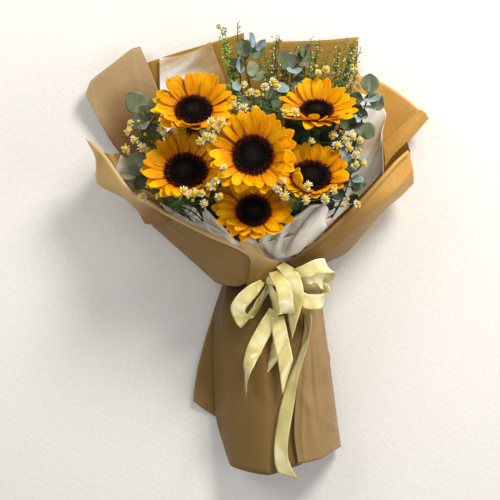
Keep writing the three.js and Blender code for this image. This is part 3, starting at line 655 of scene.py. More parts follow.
def head_back(dice):
    """The receptacle behind the disc, and two whorls of bracts."""
    whole = new_whole()
    add_to(whole, skinned(ball(23, 9.5, -12.5, 24, 12), 1))
    for count, foot, height, rise in ((13, 17, -15.5, 8), (14, 20, -12, 18)):
        for k in range(count):
            way = (k + dice.uniform(-0.2, 0.2)) * 2 * math.pi / count
            reach = dice.uniform(19, 25) * (1 - 0.35 * max(0, -math.sin(way)))
            leaf = bract(reach, dice.uniform(8, 11), rise + dice.uniform(-6, 6), dice.uniform(-12, 26))
            add_to(whole, put_round(leaf, way, foot, height))
    return whole


def broad_leaf(leaf, dice):
    """A heart-shaped sunflower leaf with a sunk midrib: foot, tip, facing, width and droop, in millimetres."""
    foot, tip, normal, (width, droop) = Vector(leaf[:3]), Vector(leaf[3:6]), leaf[6:9], leaf[9:]
    length = (tip - foot).length
    mesh, places = grid_of(10, 12)
    phase = dice.uniform(0, 6)
    for vert, (u, v) in places.items():
        s = 2 * u - 1
        half = width / 2 * between([0.12, 0.86, 1.0, 0.88, 0.62, 0.3, 0.02], v)
        wave = 1.3 * math.sin(v * 15 + phase + s * 2) * abs(s)
        side_vein = 0.5 * math.sin((v - abs(s) * 0.35) * 30)
        z = 0.18 * half * abs(s) - droop * v * v + wave + side_vein * (1 - abs(s)) * 0.6
        vert.co = Vector((s * half, v * length, z)) * MM
    turn = facing(normal, tip - foot)
    return put(thicken(mesh, 0.5 * MM, slot=2), Matrix.Translation(foot * MM) @ turn)


# Leaves left on the upper stems, under the heads: each its foot, tip, facing, width and droop.
STEM_LEAVES = {
    1: "-66 140 96 -30 178 104 0.2 -0.1 1 34 4, -70 150 96 -124 168 100 -0.3 0 1 32 5",
    2: """
        -66 70 96 -112 92 102 -0.1 -0.1 1 26 3, -50 46 98 -72 84 106 0 -0.1 1 28 3,
        -40 50 98 -62 64 104 -0.1 0 1 20 3, -62 74 94 -96 96 102 -0.2 -0.1 1 30 4, -70 76 98 -30 98 112 0.2 0 1 34 4
    """,
    3: "2 78 98 42 110 112 0.2 0 1 38 3, 0 90 104 -44 112 112 -0.2 0 1 34 3",
    4: """
        70 120 72 40 160 92 -0.2 0.1 1 36 4, 66 146 86 46 198 106 0 0.2 1 42 3, 68 150 88 18 172 104 -0.1 0.2 1 38 3,
        72 150 86 112 156 98 0.1 0 1 36 3, 64 150 92 80 172 104 0.2 -0.3 1 30 3
    """,
    5: "64 48 90 100 80 98 0.3 -0.2 1 32 4, 62 40 88 36 84 100 -0.2 0 1 34 4",
    6: "4 24 92 -40 46 100 -0.2 -0.2 1 30 4, 6 20 92 44 44 100 0.2 -0.2 1 30 4",
}


def hidden_leaves(whole, path, top, dice):
    """Leaves along the upper stem, which fill the dark gaps under the heads."""
    # only those whose tips stay over the flowers and inside the paper are kept
    for _ in range(8):
        foot = path[int(dice.uniform(0.58, 0.9) * len(path))] / MM
        way, length = dice.uniform(0, 2 * math.pi), dice.uniform(34, 52)
        tip = foot + Vector((math.cos(way) * length, math.sin(way) * length, dice.uniform(2, 16)))
        tip.z = min(tip.z, top - 24)
        if -150 < tip.x < 150 and max(30, 26 - 0.42 * tip.x) < tip.y < 245:
            normal = (dice.uniform(-0.4, 0.4), dice.uniform(-0.4, 0.4), 1)
            add_to(whole, broad_leaf((*foot, *tip, *normal, dice.uniform(24, 33), dice.uniform(2, 6)), dice))


def build_sunflowers():
    for number, flower in enumerate(SUNFLOWERS, 1):
        dice = random.Random(40 + number)
        name = f"sunflower_{number}"
        turn = Matrix.Rotation(math.radians(-flower.tilt), 4, "X")
        seat = Matrix.Translation(Vector(flower.at) * MM) @ turn @ Matrix.Scale(flower.size, 4)
        petals = put(head_petals(flower, points_of(FOLDED_PETALS.get(number, "")), dice), seat)
        make_piece(f"{name}_ray_florets", petals, [PETAL, PETAL_PAINTED_SHADE], "petal", f"{name}_petals")
        disc = put(head_disc(flower.spread, dice), seat)
        make_piece(f"{name}_disc_florets", disc, [DISC], "disc", f"{name}_disc")
        below = [seat @ Vector((0, 0, -depth * MM)) / MM for depth in (50, 18)]
        path = stem_path(flower.neck, [flower.by, *below], STEPS["sunflower"])
        whole = new_whole()
        add_to(whole, tube(path, [5.5 * MM, 5.4 * MM, 5.2 * MM, 5.0 * MM, 6.5 * MM], 10))
        add_to(whole, put(head_back(dice), seat))
        for leaf in points_of(STEM_LEAVES[number]):
            add_to(whole, broad_leaf(leaf, dice))
        hidden_leaves(whole, path, flower.at[2], dice)
        make_piece(f"{name}_stem_and_bracts", whole, [STEM, BRACT, LEAF], "sunflower_stem", f"{name}_stem")


def build_cut_leaves():
    """The two leaves cut with a short stalk."""
    dice = random.Random(9)
    for name, leaf in (
        ("sunflower_leaf_1", (60, 120, 92, 128, 180, 107, 0.1, -0.1, 1, 42, 2)),
        ("sunflower_leaf_2", (-28, 44, 106, -74, 66, 112, -0.1, 0.1, 1, 24, 2)),
    ):
        whole = new_whole()
        add_to(whole, broad_leaf(leaf, dice))
        make_piece(f"{name}_blade", whole, [STEM, BRACT, LEAF], "sunflower_leaf", name)


# ---------------------------------------------------------------- eucalyptus

# Each sprig: its place in the tie in X and Z, then the places that its twig passes on its way to the tip, and its
# leaves: middle, half length, facing and finish (0 green, 2 bloomed, 3 sage; 2 and 3 are partly painted highlight).
EUCALYPTUS = [
    ((-7, 43), """
        -70 60 58, -128 150 82, -158 196 98;
        -174 216 104 17 -0.2 0.2 1 0, -152 204 108 15 0.3 0.1 1 0, -154 176 94 14 -0.5 -0.3 1 0,
        -122 158 84 13 0.4 0.4 1 0, -161 205 118 10 0.2 -0.75 0.6 3, -157 185 108 15 -0.6 0.7 0.4 3,
        -172 188 96 12 -0.4 0.2 0.9 0
    """),
    ((-11, 52), """
        -84 34 68, -140 96 86, -162 120 94;
        -171 128 100 18 -0.1 0.1 1 0, -160 104 88 14 -0.4 -0.4 1 0, -132 96 88 13 0.4 0.3 1 0,
        -185 109 104 12 0.1 0.85 0.45 3, -168 100 96 11 0.3 0.2 0.9 0
    """),
    ((16, 30), """
        8 100 40, 0 200 58, -14 262 68, -18 284 72;
        -20 298 76 13 0.1 0.2 1 0, -30 272 74 13 -0.5 0 1 0, -2 262 72 14 0.4 0.2 1 0, 14 214 66 15 0.3 -0.2 1 0,
        -25 272 80 12.5 0.9 0.1 0.45 2, -7 267 84 11 0.55 -0.2 0.8 3, -16 297 74 13 -0.6 0.1 0.75 0,
        -9 308 84 11 0.93 0 0.35 2, -2 293 76 13 0.1 0.1 1 0, 5 303 80 10 0.5 -0.6 0.6 2, -30 241 84 8 0.6 0.3 0.7 2,
        19 230 90 10 -0.5 0.4 0.8 0, 11 213 96 11 0.4 0.7 0.6 0
    """),
    ((26, 30), """
        36 100 40, 46 200 54, 52 262 62, 54 272 64;
        44 282 68 16 -0.3 0.2 1 0, 68 284 70 13 0.5 0.1 1 0, 62 250 64 13 0.4 -0.4 1 0, 34 232 62 13 -0.4 -0.2 1 0,
        55 264 80 12 0 0.85 0.5 2, 65 292 80 9 0.9 0.1 0.4 0, 74 295 76 9 -0.85 0.2 0.5 0,
        37 238 88 10 0.3 0.5 0.8 2, 45 231 84 10 -0.4 0.4 0.8 0, 31 211 100 13 0.3 0.75 0.6 0
    """),
    ((47, 43), """
        100 60 60, 140 150 82, 156 210 96, 160 228 100;
        162 243 104 14 0.1 0.2 1 0, 172 216 98 13 0.6 0.1 1 0, 142 204 94 13 -0.5 0.3 1 0,
        160 176 90 13 0.5 -0.2 1 0, 130 158 86 13 -0.4 0.2 1 0, 166 222 106 14 -0.3 0.8 0.5 2,
        162 209 102 10 0.1 0.9 0.35 2, 152 201 96 9 0.6 0.3 0.7 0, 148 193 104 10 0 0.9 0.4 2,
        150 178 100 12 0.05 0.55 0.8 0, 132 187 92 13 -0.3 0.2 0.9 0
    """),
    ((51, 52), """
        96 30 78, 124 80 104, 134 112 118;
        136 126 124 13 0.1 0.3 1 0, 144 100 114 12 0.5 0 1 0, 116 86 108 11 -0.3 -0.3 1 0, 128 134 126 6 0 0.2 1 2,
        126 118 124 12 0.75 0.1 0.6 0, 144 102 122 9 -0.1 0.85 0.5 2, 143 90 116 9 0.2 0.3 1 0,
        121 99 112 10 -0.4 0.2 0.9 0
    """),
]


def gum_leaf(middle, radius, normal, foot, slot, dice):
    """A round eucalyptus leaf with its base turned to the twig, and the short stalk that joins them."""
    mesh, places = grid_of(8, 10)
    cup, wave, fold = dice.uniform(0.2, 1.6), dice.uniform(0, 6), dice.uniform(0.05, 0.42)
    for vert, (u, v) in places.items():
        s = 2 * u - 1
        half = radius * 0.95 * between([0.12, 0.74, 0.97, 1.0, 0.9, 0.62, 0.06], v)
        y = (v - 0.5) * 2.15 * radius
        z = cup * (s * s + (2 * v - 1) ** 2 - 1) + fold * half * abs(s) + 0.7 * math.sin(v * 8 + wave) * s
        vert.co = Vector((s * half, y, z)) * MM
    away = Vector(middle) - foot / MM
    turn = facing(normal, away)
    leaf = put(thicken(mesh, 0.45 * MM, slot), Matrix.Translation(Vector(middle) * MM) @ turn)
    base = Vector(middle) * MM + turn @ Vector((0, -1.04 * radius * MM, 0))
    bend = [foot, (foot + base) / 2 + UP * 0.5 * MM, base, base.lerp(Vector(middle) * MM, 0.12)]
    return leaf, tube(bend, 0.8 * MM, 6, 1)


def build_eucalyptus():
    finishes = [GUM_LEAF, GUM_STEM, GUM_PALE_PAINTED_HIGHLIGHT, GUM_SAGE_PAINTED_HIGHLIGHT]
    for number, (neck, table) in enumerate(EUCALYPTUS, 1):
        dice = random.Random(70 + number)
        places, listed = rows_of(table)
        path = stem_path(neck, places, STEPS["eucalyptus"])
        free = path[STEPS["eucalyptus"] // 2 :]
        whole = new_whole()
        add_to(whole, tube(path, [2 * MM, 1.9 * MM, 1.5 * MM, 0.9 * MM], 8, 1))
        leaves = [(leaf[:3], leaf[3], leaf[4:7], int(leaf[7])) for leaf in listed]
        for middle, radius in small_gum_leaves(free, leaves, dice):
            leaves.append((middle, radius, (dice.uniform(-0.9, 0.9), dice.uniform(-0.7, 0.7), 0.8), 0))
        for middle, radius, normal, slot in leaves:
            foot = min(free, key=lambda p: (p - Vector(middle) * MM).length + (0 if p != free[-1] else 0.004))
            for part in gum_leaf(middle, radius, normal, foot, slot, dice):
                add_to(whole, part)
        make_piece(f"eucalyptus_{number}", whole, finishes, "eucalyptus", f"eucalyptus_sprig_{number}")


def small_gum_leaves(free, leaves, dice):
    """Pairs of smaller leaves lower on the twig, between the large ones."""
    found = []
    for k in range(2, len(free) - 3, 4):
        side = 1 if (k // 4) % 2 else -1
        way = (free[k + 1] - free[k - 1]).normalized().cross(UP) * side
        radius = dice.uniform(8, 11)
        middle = free[k] / MM + way * (radius + 5) + UP * dice.uniform(0, 4)
        if all((middle - Vector(m)).length > r + radius * 0.4 for m, r, _, _ in leaves) and middle.y > 60:
            found.append((middle, radius))
    return found


# ---------------------------------------------------------------- chamomile

# Each spray: its place in the tie in X and Z, then the places that its stem passes, its open heads and its buds.
CHAMOMILE = [
    ((-8, 60), """
        -60 20 76, -140 148 106, -162 160 116;
        -181 184 124, -182 173 128, -173 160 132, -186 148 126, -163 149 134, -155 146 130, -135 175 140,
        -130 168 142, -113 173 150;
        -183 141 118, -159 168 122, -169 187 120
    """),
    ((3, 63), """
        -44 2 86, -84 52 104, -108 66 140, -116 66 186;
        -162 79 140, -138 80 156, -100 85 198, -86 82 200, -76 82 201, -65 91 200, -57 99 202, -51 78 196,
        -73 68 190, -44 115 208;
        -155 93 140, -149 92 142, -89 72 184, -95 76 188, -59 87 196
    """),
    ((11, 58), """
        -26 40 92, -44 122 112, -56 156 146, -63 155 184;
        -77 153 204, -70 159 207, -62 157 206, -62 178 206, -49 179 208, -56 169 204;
        -66 168 200, -44 174 202
    """),
    ((18, 36), """
        10 60 50, 2 150 76, 8 196 110, 6 206 140;
        -31 205 162, -19 201 166, -3 199 170, -19 238 130, -10 227 134, 0 226 136, 12 236 128, 23 243 126,
        28 236 130, 40 195 168, 53 195 168, 89 257 112, 99 263 110, 142 263 100;
        -35 216 150, 85 267 108, 8 223 130, 138 270 98
    """),
    ((29, 60), """
        42 0 82, 54 44 98, 57 64 140, 55 70 196;
        33 98 220, 27 87 216, 37 77 214, 66 71 212, 69 91 214, 92 74 206, 105 85 200, 142 69 140;
        122 66 150, 59 80 206, 127 75 150
    """),
    ((50, 60), """
        96 62 92, 132 146 118, 138 158 130;
        107 166 142, 113 151 144, 125 159 148, 134 163 148, 145 158 144, 129 148 146, 139 138 142, 139 125 138,
        151 126 136, 76 156 150;
        118 172 132, 146 145 134
    """),
]
DAISY_RAYS = 12


def daisy_head(size, reflex, is_bud, dice):
    """A chamomile head at the origin, facing +Z: white rays round a yellow dome. A bud has no rays yet."""
    whole = new_whole()
    add_to(whole, skinned(ball(3.7, 3.6, 1.0, 12, 7), 1))
    cup = put(plug(0.9, 3.0, 1.8, 7), Matrix.Translation((0, 0, -0.9 * MM)))
    add_to(whole, skinned(cup, 2, smooth=False))
    for k in range(0 if is_bud else DAISY_RAYS):
        if dice.random() < 0.1:
            continue
        way = (k + dice.uniform(-0.3, 0.3)) * 2 * math.pi / DAISY_RAYS
        ray, places = grid_of(2, 3)
        length, droop = 4.9 * dice.uniform(0.7, 1.1), reflex + dice.uniform(-0.3, 0.3)
        for vert, (u, v) in places.items():
            half = 1.05 * between([0.5, 0.95, 1.0, 0.4], v)
            s = 2 * u - 1
            out = 2.9 + v * length * math.cos(droop * v)
            vert.co = Vector((s * half, out, -v * length * math.sin(droop * v) + 0.2 * s * s)) * MM
        thicken(ray, 0.22 * MM)
        add_to(whole, put(ray, Matrix.Rotation(way, 4, "Z")))
    return put(whole, Matrix.Scale(size, 4))


def feathery_leaf(foot, way, length, dice):
    """A chamomile leaf: a thread with short threads to both sides."""
    whole = new_whole()
    tip = foot + way * length + UP * dice.uniform(-4, 2) * MM
    add_to(whole, tube([foot, foot.lerp(tip, 0.5) + UP * 1.5 * MM, tip], [0.5 * MM, 0.25 * MM], 4, 2))
    side = way.cross(UP).normalized()
    for k in range(1, 6):
        start = foot.lerp(tip, k / 6)
        for turn in (1, -1):
            out = way * 0.7 + side * turn * 0.8 + UP * dice.uniform(-0.4, 0.4)
            end = start + out * dice.uniform(4, 8) * MM
            add_to(whole, tube([start, end], [0.4 * MM, 0.2 * MM], 3, 2))
    return whole


def build_chamomile():
    finishes = [DAISY_RAY, DAISY_DOME, DAISY_GREEN]
    for number, (neck, table) in enumerate(CHAMOMILE, 1):
        dice = random.Random(200 + number)
        places, open_heads, buds = rows_of(table)
        path = stem_path(neck, places, STEPS["chamomile"])
        whole = new_whole()
        add_to(whole, tube(path, [1.3 * MM, 1.3 * MM, 1.1 * MM, 0.9 * MM], 6, 2))
        # each head's stalk leaves the top of the stem below it
        top = path[-18:]
        for place in open_heads + buds:
            is_bud = place in buds
            head = Vector(place) * MM
            foot = min(top, key=lambda p: (p - head).length + abs(p.z - head.z + 0.02))
            out = (head - foot).normalized()
            sway = Vector((dice.uniform(-0.6, 0.6), dice.uniform(-0.5, 0.6), 0))
            normal = (UP + out * 0.4 + sway).normalized()
            sink = 3 * MM + 0.5 * max(0, (head - foot).length - 18 * MM)
            bend = foot.lerp(head, 0.6) - UP * sink
            stalk_end = head - normal * 1.2 * MM
            add_to(whole, tube(smooth_path([foot, bend, stalk_end], 5), [0.8 * MM, 0.55 * MM], 5, 2))
            size = dice.uniform(0.6, 0.75) if is_bud else dice.uniform(0.88, 1.08)
            daisy = daisy_head(size, dice.choice((-0.2, 0.1, 0.5, 0.9)), is_bud, dice)
            add_to(whole, put(daisy, Matrix.Translation(head) @ facing(normal, (0, 1, 0))))
        # pairs of leaves up the free part of the stem
        for k in range(26, STEPS["chamomile"], 2):
            for turn in (1, -1):
                run = path[k] - path[k - 1]
                way = (run.normalized() + UP.cross(run).normalized() * turn).normalized()
                add_to(whole, feathery_leaf(path[k], way, dice.uniform(12, 20) * MM, dice))
        make_piece(f"chamomile_{number}", whole, finishes, "chamomile", f"chamomile_spray_{number}")


# ---------------------------------------------------------------- pennycress

# Each spray: its place in the tie in X and Z, the share of white flowers, then the places that its stalk passes, and
# the tips of its branches.
PENNYCRESS = [
    ((10, 28), 0.12, """
        -4 100 34, -20 220 50, -28 300 62, -28 336 68;
        -54 334 72, -47 324 74, -50 308 74, -42 300 74, -46 284 76, -38 272 76, -34 258 78, -40 246 82
    """),
    ((21, 24), 0.2, """
        21 100 30, 24 220 42, 28 296 54, 29 312 56;
        10 306 58, 44 302 58, 20 284 66, 34 318 60, 2 286 70, 40 280 68, 14 264 72
    """),
    ((32, 28), 0.2, """
        54 100 32, 76 220 44, 88 290 56, 90 308 58;
        66 306 60, 108 298 60, 80 314 62, 98 284 66, 60 286 66, 76 272 74, 112 276 68, 68 256 76
    """),
    ((38, 30), 0.36, """
        80 100 36, 116 220 50, 136 286 60, 140 306 62;
        122 302 64, 148 266 70, 132 314 62, 116 280 68, 148 290 68, 122 258 76, 142 246 80
    """),
]


def pod(middle, normal, size, slot):
    mesh = skinned(plug(size, size * 0.75, 0.7, 6), slot, smooth=False)
    return put(mesh, Matrix.Translation(middle) @ facing(normal, UP))


def pod_spike(whole, path, dice, spread, count, white):
    """Pods and small white flowers on short shoots, turned round the stalk."""
    for k in range(len(path) - 1):
        way = (path[k + 1] - path[k]).normalized()
        side = way.cross(UP).normalized()
        for _ in range(count):
            turn = dice.uniform(0, 2 * math.pi)
            out = (side * math.cos(turn) + way.cross(side) * math.sin(turn) * 0.6 + way * 0.8).normalized()
            foot = path[k].lerp(path[k + 1], dice.random())
            tip = foot + out * dice.uniform(0.4, 1) * spread * MM
            tip.z = max(tip.z, foot.z - 3 * MM)
            add_to(whole, tube([foot, tip], [0.3 * MM, 0.2 * MM], 3, 2))
            is_flower = dice.random() < white
            size = dice.uniform(0.8, 1.25) if is_flower else dice.uniform(1.0, 1.5) * (1.5 if count > 5 else 1)
            add_to(whole, pod(tip, out + UP * 0.8, size, 1 if is_flower else 0))


def build_pennycress():
    for number, (neck, white, table) in enumerate(PENNYCRESS, 1):
        # the first spray is in seed on a few branches, and the others are fine and bushy
        is_seedy = number == 1
        dice = random.Random(300 + number)
        places, tips = rows_of(table)
        path = stem_path(neck, places, STEPS["pennycress"])
        whole = new_whole()
        add_to(whole, tube(path, [1.5 * MM, 1.4 * MM, 1.2 * MM, 0.6 * MM], 6, 2))
        pod_spike(whole, path[33:], dice, 6 if is_seedy else 10, 2 if is_seedy else 3, white)
        for _ in range(0 if is_seedy else 13):
            x, y, z = places[-1]
            tips.append((min(x + dice.uniform(-30, 30), 152), y - dice.uniform(2, 66), z + dice.uniform(0, 16)))
        # the branches leave five places in turn, and carry pods from their fifth step on
        for k, tip in enumerate(tips):
            start, end = path[30 + k % 5], Vector(tip) * MM
            branch = smooth_path([start, start.lerp(end, 0.5) - Vector((0, 6 * MM, 0)), end], 14)
            add_to(whole, tube(branch, [0.8 * MM, 0.4 * MM], 5, 2))
            pod_spike(whole, branch[4:], dice, 7, 7 if is_seedy else 3, white)
        finishes = [POD if is_seedy else POD_DARK, POD_SPECK, POD_STALK]
        make_piece(f"pennycress_{number}", whole, finishes, "pennycress", f"pennycress_spray_{number}")


# ---------------------------------------------------------------- twine

# The ellipse that the stems are tied to, the twine's pitch, and its ply: the radius, how far it is off the cord's
# middle, and its twists in a lap.
TIE = {"x": 20, "z": 46, "half_width": 44, "half_height": 32, "pitch": 2.6}
PLY_RADIUS, PLY_OFF_MIDDLE, TWISTS, LAP_STEPS = 0.72, 0.62, 34, 96


def build_twine():
    """Three turns of jute twine round the stems, each of two twisted plies."""
    whole = new_whole()
    for lap, y in enumerate((NECK_Y - TIE["pitch"], NECK_Y, NECK_Y + TIE["pitch"])):
        for ply in (0, math.pi):
            path = []
            for k in range(LAP_STEPS + 1):
                around = k / LAP_STEPS * 2 * math.pi
                spin = around * TWISTS + ply
                out = PLY_OFF_MIDDLE * math.cos(spin)
                x = TIE["x"] + (TIE["half_width"] + out) * math.cos(around)
                z = TIE["z"] + (TIE["half_height"] + out) * math.sin(around)
                path.append(Vector((x, y + PLY_OFF_MIDDLE * math.sin(spin) + 0.3 * math.sin(around + lap), z)) * MM)
            add_to(whole, tube(path, PLY_RADIUS * MM, 5))
    make_piece("jute_twine", whole, [TWINE], "twine", "binding_twine")


# ---------------------------------------------------------------- paper and liner

# The sheets that stand for CAD solids: finish, how sharply the columns bend (0 is a smooth curve, 1 a knife fold), and
# rows of points that run across the sheet, from the tie to its free end.
SHEETS = {
    "kraft_back_left": (KRAFT_BACK_PAINTED_SHEEN, 0.6, """
        -25 -48 8.4, -18 -48 8.4, -12 -48 8.4, -5 -48 8.4, 2 -48 8.4;
        -110 54 8.5, -96 62 8.5, -80 70 8.5, -62 78 8.5, -43 82 8.5;
        -216 163 15, -202 169 11, -178 179 9, -150 188 8.5, -123 194 8.5;
        -256 237 26, -249 256 26, -216 283 24, -187 306 20, -175 310 17
    """),
    "kraft_back_centre_left": (KRAFT_AMBER, 0, """
        -16 -48 7, -6 -48 7, 5 -48 7, 15 -48 7;
        -85 80 6.9, -58 85 6.9, -31 88 6.9, -4 88 6.9;
        -149 193 6.5, -107 213 6.5, -61 225 6.5, -16 228 6.5;
        -172 284 10, -123 300 13, -70 315 15, -19 331 13
    """),
    "kraft_back_centre_right": (KRAFT_AMBER, 0, """
        -6 -48 5.6, 4 -48 5.6, 14 -48 5.6, 25 -48 5.6;
        -10 87 5.2, 23 92 4.8, 60 92 4.4, 96 88 4;
        -19 215 3.4, 36 224 3, 93 224 2.6, 147 218 2.4;
        -25 312 5, 28 318 8, 93 320 9, 154 325 10
    """),
    "kraft_back_right": (KRAFT_PAINTED_LIT_GOLD, 0.3, """
        22 -48 7, 28 -48 7, 34 -47 7.3, 40 -46 7.6;
        90 62 6.2, 108 60 6, 124 56 8, 140 52 12;
        123 170 5.5, 157 161 6, 192 148 12, 222 160 32;
        136 272 6, 184 259 9, 227 229 20, 254 201 34
    """),
    "liner_back_left": (LINER, 0, """
        -30 -40 14, -15 -40 14, 0 -40 14, 12 -40 14;
        -116 72 12, -86 82 12, -55 92 12, -25 94 12;
        -145 203 13, -112 218 13, -76 227 13, -40 230 13;
        -146 292 18, -121 295 20, -93 303 21, -69 317 20
    """),
    "liner_back_right": (LINER_BEIGE_PAINTED_LIGHT, 0, """
        26 -40 13, 38 -40 13, 50 -36 14, 60 -28 20;
        92 56 12, 112 56 14, 128 50 26, 138 44 50;
        124 152 12, 146 150 16, 167 139 38, 183 114 94;
        150 242 14, 176 231 20, 193 206 34, 184 178 50
    """),
    "kraft_right_flap": (KRAFT_PAINTED_LIT_HONEY, 0.85, """
        24 -20 0.4, 78 -18 0.4, 100 -16 50, 66 -24 96, 34 -18 103;
        22 4 0.4, 96 2 0.4, 129 -3 46, 106 2 98, 78 9 110;
        50 78 0.4, 146 50 0.4, 192 65 46, 166 60 100, 134 58 118;
        88 110 0.4, 176 82 1, 214 84 48, 199 89 98, 182 108 110;
        118 155 0.4, 206 116 9, 232 103 50, 227 122 82, 220 148 90
    """),
    "kraft_front_left_flap": (KRAFT_OLIVE, 0.25, """
        14 -22 0.4, -52 -30 0.4, -61 -44 48, -28 -49 96, 18 -22 104;
        -8 -10 0.4, -74 -8 0.4, -90 -18 46, -50 -14 93, -24 6 110;
        -26 30 0.4, -106 26 0.4, -125 13 44, -97 14 86, -70 26 114;
        -48 72 0.4, -136 62 0.4, -156 40 44, -136 46 84, -126 52 112
    """),
    "kraft_left_flap": (KRAFT_PAINTED_LIT_STRAW, 0, """
        -20 -6 4.4, -62 -6 4.4, -66 -2 42, -50 4 80, -60 0 64;
        -48 32 4.4, -97 30 4.4, -104 33 44, -88 28 92, -100 24 62;
        -78 86 3.8, -137 78 4, -140 68 50, -134 60 108, -158 48 62;
        -108 112 3.6, -176 98 4.2, -178 90 52, -176 80 114, -192 77 60;
        -140 136 3.6, -210 130 5, -217 128 56, -216 136 110, -236 106 58;
        -156 156 4, -219 149 8, -226 147 60, -247 165 100, -232 134 64
    """),
    "liner_front": (LINER_FOLDED_PAINTED_SHADE, 0, """
        -28 -10 92, -8 -15 94, 14 -17 96, 34 -15 95, 50 -9 91;
        -70 36 104, -36 16 102, 8 2 102, 54 10 102, 86 32 96;
        -124 66 96, -60 35 119, -10 13 115, 62 28 128, 112 58 110
    """),
    "skirt_back": (KRAFT_OLIVE, 0, """
        94 -30 2.4, 46 -30 2.4, 0 -30 2.4, -44 -30 2.4;
        94 -62 2.4, 46 -62 2.4, 0 -62 2.4, -55 -58 3;
        97 -98 7, 50 -98 0.4, -10 -98 0.4, -68 -98 8;
        107 -180 7, 58 -180 0.4, -24 -180 0.4, -90 -180 9;
        113 -280 7, 50 -284 0.4, -62 -248 3, -96 -224 9
    """),
    "skirt_front_left": (KRAFT_PAINTED_SHADE_BROWN, 0.3, """
        52 -30 82, 8 -30 86, -40 -30 70, -48 -30 16;
        60 -61 84, 8 -61 86, -42 -61 68, -53 -61 15;
        67 -86 83.5, 8 -86 86, -45 -88 62, -64 -90 14;
        70 -140 82.5, 8 -140 86, -41 -142 58, -66 -144 13;
        68 -228 78.5, 14 -228 83, -35 -232 54, -63 -234 12;
        66 -309 73, 16 -324 79, -38 -317 40, -46 -304 10
    """),
    "skirt_front_right": (KRAFT_TAN, 0, """
        96 -30 16, 92 -30 44, 74 -30 72, 50 -30 85.4;
        97 -61 15, 93 -61 44, 79 -61 73, 61 -61 85.6;
        101 -96 14, 96 -96 44, 83 -96 73, 69 -96 85.2;
        112 -178 14, 105 -176 46, 84 -174 74, 60 -172 85.6;
        122 -256 13, 113 -254 46, 87 -256 75, 54 -256 84.4;
        127 -292 13, 113 -294 46, 91 -302 72, 60 -308 79
    """),
}
# Folds laid into a sheet: from one place to another in the sheet's own u and v, height in millimetres, half width.
CREASES = {
    "kraft_back_left": "0.4 0.5 0.46 0.95 1.3 0.16, 0.66 0.6 0.7 0.95 1.1 0.08",
    "kraft_back_centre_left": "0.2 0.5 0.22 1 2.5 0.06",
    "liner_back_left": "0.0 0.66 0.8 0.84 1.8 0.1, 0.2 0.8 0.95 0.94 -1.6 0.08, 0.1 0.6 0.7 0.7 -1.4 0.07",
    "liner_front_fold": "0.5 0.1 0.56 1 1.2 0.03, 0.2 0.2 0.14 1 -1.2 0.03",
    "liner_back_right": "0.2 0.5 0.5 1 2.4 0.1, 0.5 0.4 0.7 0.9 -2 0.1, 0.75 0.5 0.9 1 1.6 0.07",
    "skirt_front_left": """
        0.74 0.12 0.78 0.8 1.3 0.07, 0.56 0.06 0.52 0.6 -1.1 0.06, 0.4 0.04 0.42 0.5 1 0.05,
        0.2 0.3 0.24 1.05 -3.4 0.1, 0.66 0.08 0.64 0.4 -1 0.04
    """,
    "skirt_front_right": """
        0.26 0.24 0.18 0.42 -3.8 0.07, 0.44 0.62 0.1 0.54 3.6 0.06, 0.04 0.84 0.22 0.93 2.2 0.06,
        0.98 0.44 0.63 0.49 2.4 0.03, 0.63 0.49 0.3 0.43 2.6 0.03, 0.94 0.67 0.72 0.73 2.4 0.03,
        0.5 0.78 0.2 0.85 2.4 0.035, 0.2 0.9 0.42 1.0 -2.2 0.05, 0.72 0.5 0.6 0.76 2.8 0.06,
        0.36 0.1 0.3 0.5 2.4 0.05, 0.86 0.4 0.9 1 2 0.05, 0.2 0.58 0.62 0.66 -2.6 0.05
    """,
    "kraft_front_left_flap": "0.8 0.0 0.78 1 1.8 0.05, 0.62 0.1 0.6 0.7 -1.6 0.06",
    "kraft_left_flap": "0.76 0.36 1.1 0.43 -9 0.08, 0.83 0.87 0.98 0.81 -4 0.06",
}
